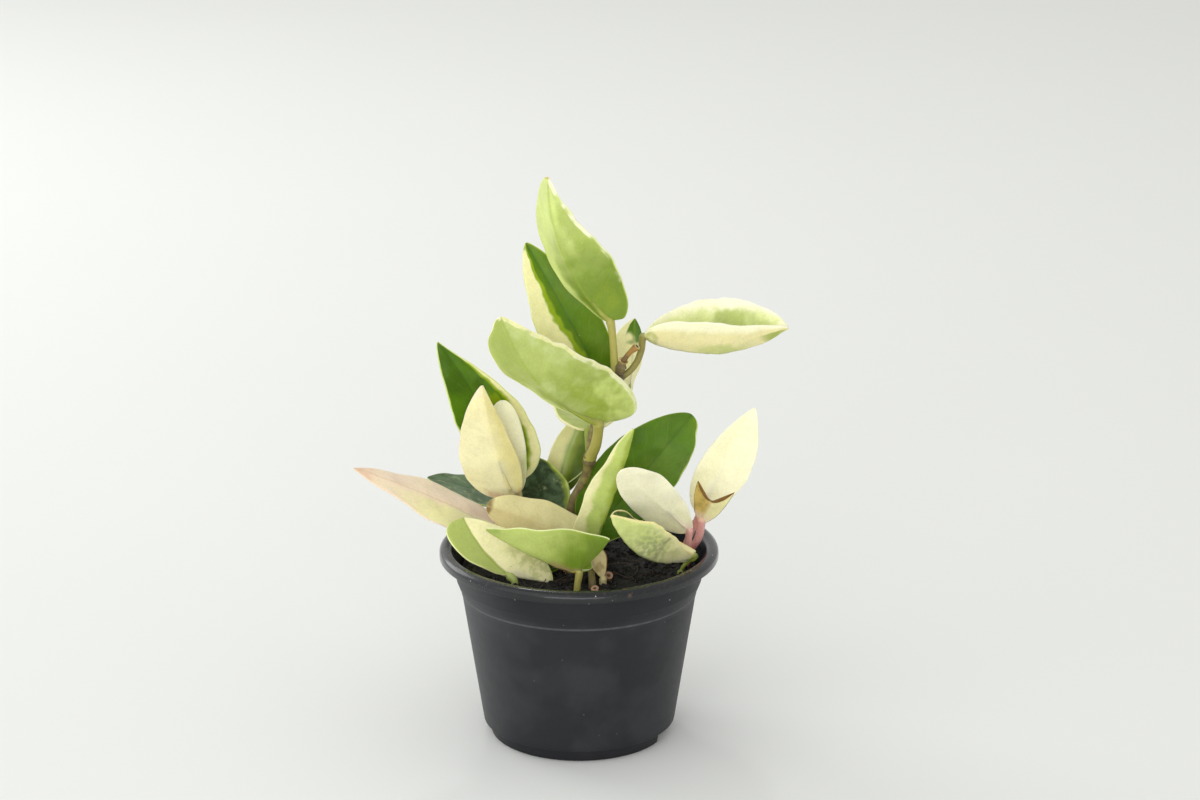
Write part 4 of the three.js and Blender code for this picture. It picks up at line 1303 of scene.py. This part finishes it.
def hang_lamp(scene, name, place, aim, size, power):
    """A square soft lamp at a place, turned to what it lights."""
    lamp = bpy.data.lights.new(name, "AREA")
    lamp.size = size
    lamp.energy = power
    holder = bpy.data.objects.new(name, lamp)
    holder.location = place
    holder.rotation_euler = (Vector(aim) - Vector(place)).to_track_quat("-Z", "Y").to_euler()
    scene.collection.objects.link(holder)


class HOYA_OT_stage(bpy.types.Operator):
    """Lay the pale floor and set the soft lights and the camera"""
    bl_idname = "hoya.stage"
    bl_label = "Stage"

    def execute(self, context):
        scene = context.scene
        settings = scene.hoya_stage
        scene.view_settings.view_transform = "Standard"
        lay_floor(scene)

        world = bpy.data.worlds.new("soft_room")
        world.use_nodes = True
        background = world.node_tree.nodes["Background"]
        background.inputs[0].default_value = (1.0, 0.995, 0.98, 1)
        background.inputs[1].default_value = settings.sky
        scene.world = world
        for name, place, aim, size, share in (
                ("key", (-1.0, -1.1, 1.3), PLANT_MIDDLE, 2.2, 1),
                ("front", (-0.1, -1.7, 0.15), PLANT_MIDDLE, 1.5, 1.9),
                ("rim", (-0.25, 1.0, 1.3), PLANT_MIDDLE, 0.15, 0.2),
                ("backdrop", (-1.1, 0.9, 0.7), BACKDROP_MIDDLE, 0.8, 0.6)):
            hang_lamp(scene, name, place, aim, size, settings.key * share)

        lens = bpy.data.cameras.new("camera")
        lens.lens = CAMERA_LENS
        lens.sensor_width = 36
        camera = bpy.data.objects.new("camera", lens)
        camera.location = CAMERA_PLACE
        camera.rotation_euler = (CAMERA_TILT, 0, 0)
        scene.collection.objects.link(camera)
        scene.camera = camera
        return {"FINISHED"}


# ---- Panel ----

class HOYA_PT_panel(bpy.types.Panel):
    """Lists the hoya's sizes, colours and operators"""
    bl_idname = "HOYA_PT_panel"
    bl_label = "Potted hoya"
    bl_space_type = "VIEW_3D"
    bl_region_type = "UI"
    bl_category = "Hoya"

    def draw(self, context):
        layout = self.layout
        for operator in OPERATORS:
            layout.operator(operator.bl_idname)
        for group in (context.scene.hoya_leaves, context.scene.hoya_pot, context.scene.hoya_stage):
            box = layout.box()
            for name in group.__annotations__:
                box.prop(group, name)


OPERATORS = (HOYA_OT_stage, HOYA_OT_pot, HOYA_OT_soil, HOYA_OT_stems, HOYA_OT_upper_leaves,
             HOYA_OT_left_leaves, HOYA_OT_rooted_leaves)
SETTINGS = (("hoya_leaves", HoyaLeafSettings), ("hoya_pot", HoyaPotSettings),
            ("hoya_stage", HoyaStageSettings))


def register():
    for name, group in SETTINGS:
        bpy.utils.register_class(group)
        setattr(bpy.types.Scene, name, bpy.props.PointerProperty(type=group))
    for cls in (*OPERATORS, HOYA_PT_panel):
        bpy.utils.register_class(cls)


def unregister():
    for cls in (HOYA_PT_panel, *reversed(OPERATORS)):
        bpy.utils.unregister_class(cls)
    for name, group in reversed(SETTINGS):
        delattr(bpy.types.Scene, name)
        bpy.utils.unregister_class(group)


def main():
    """Builds the stage and every piece."""
    register()
    bpy.ops.hoya.stage()
    bpy.ops.hoya.pot()
    bpy.ops.hoya.soil()
    bpy.ops.hoya.stems()
    bpy.ops.hoya.upper_leaves()
    bpy.ops.hoya.left_leaves()
    bpy.ops.hoya.rooted_leaves()
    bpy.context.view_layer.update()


if __name__ == "__main__":
    main()
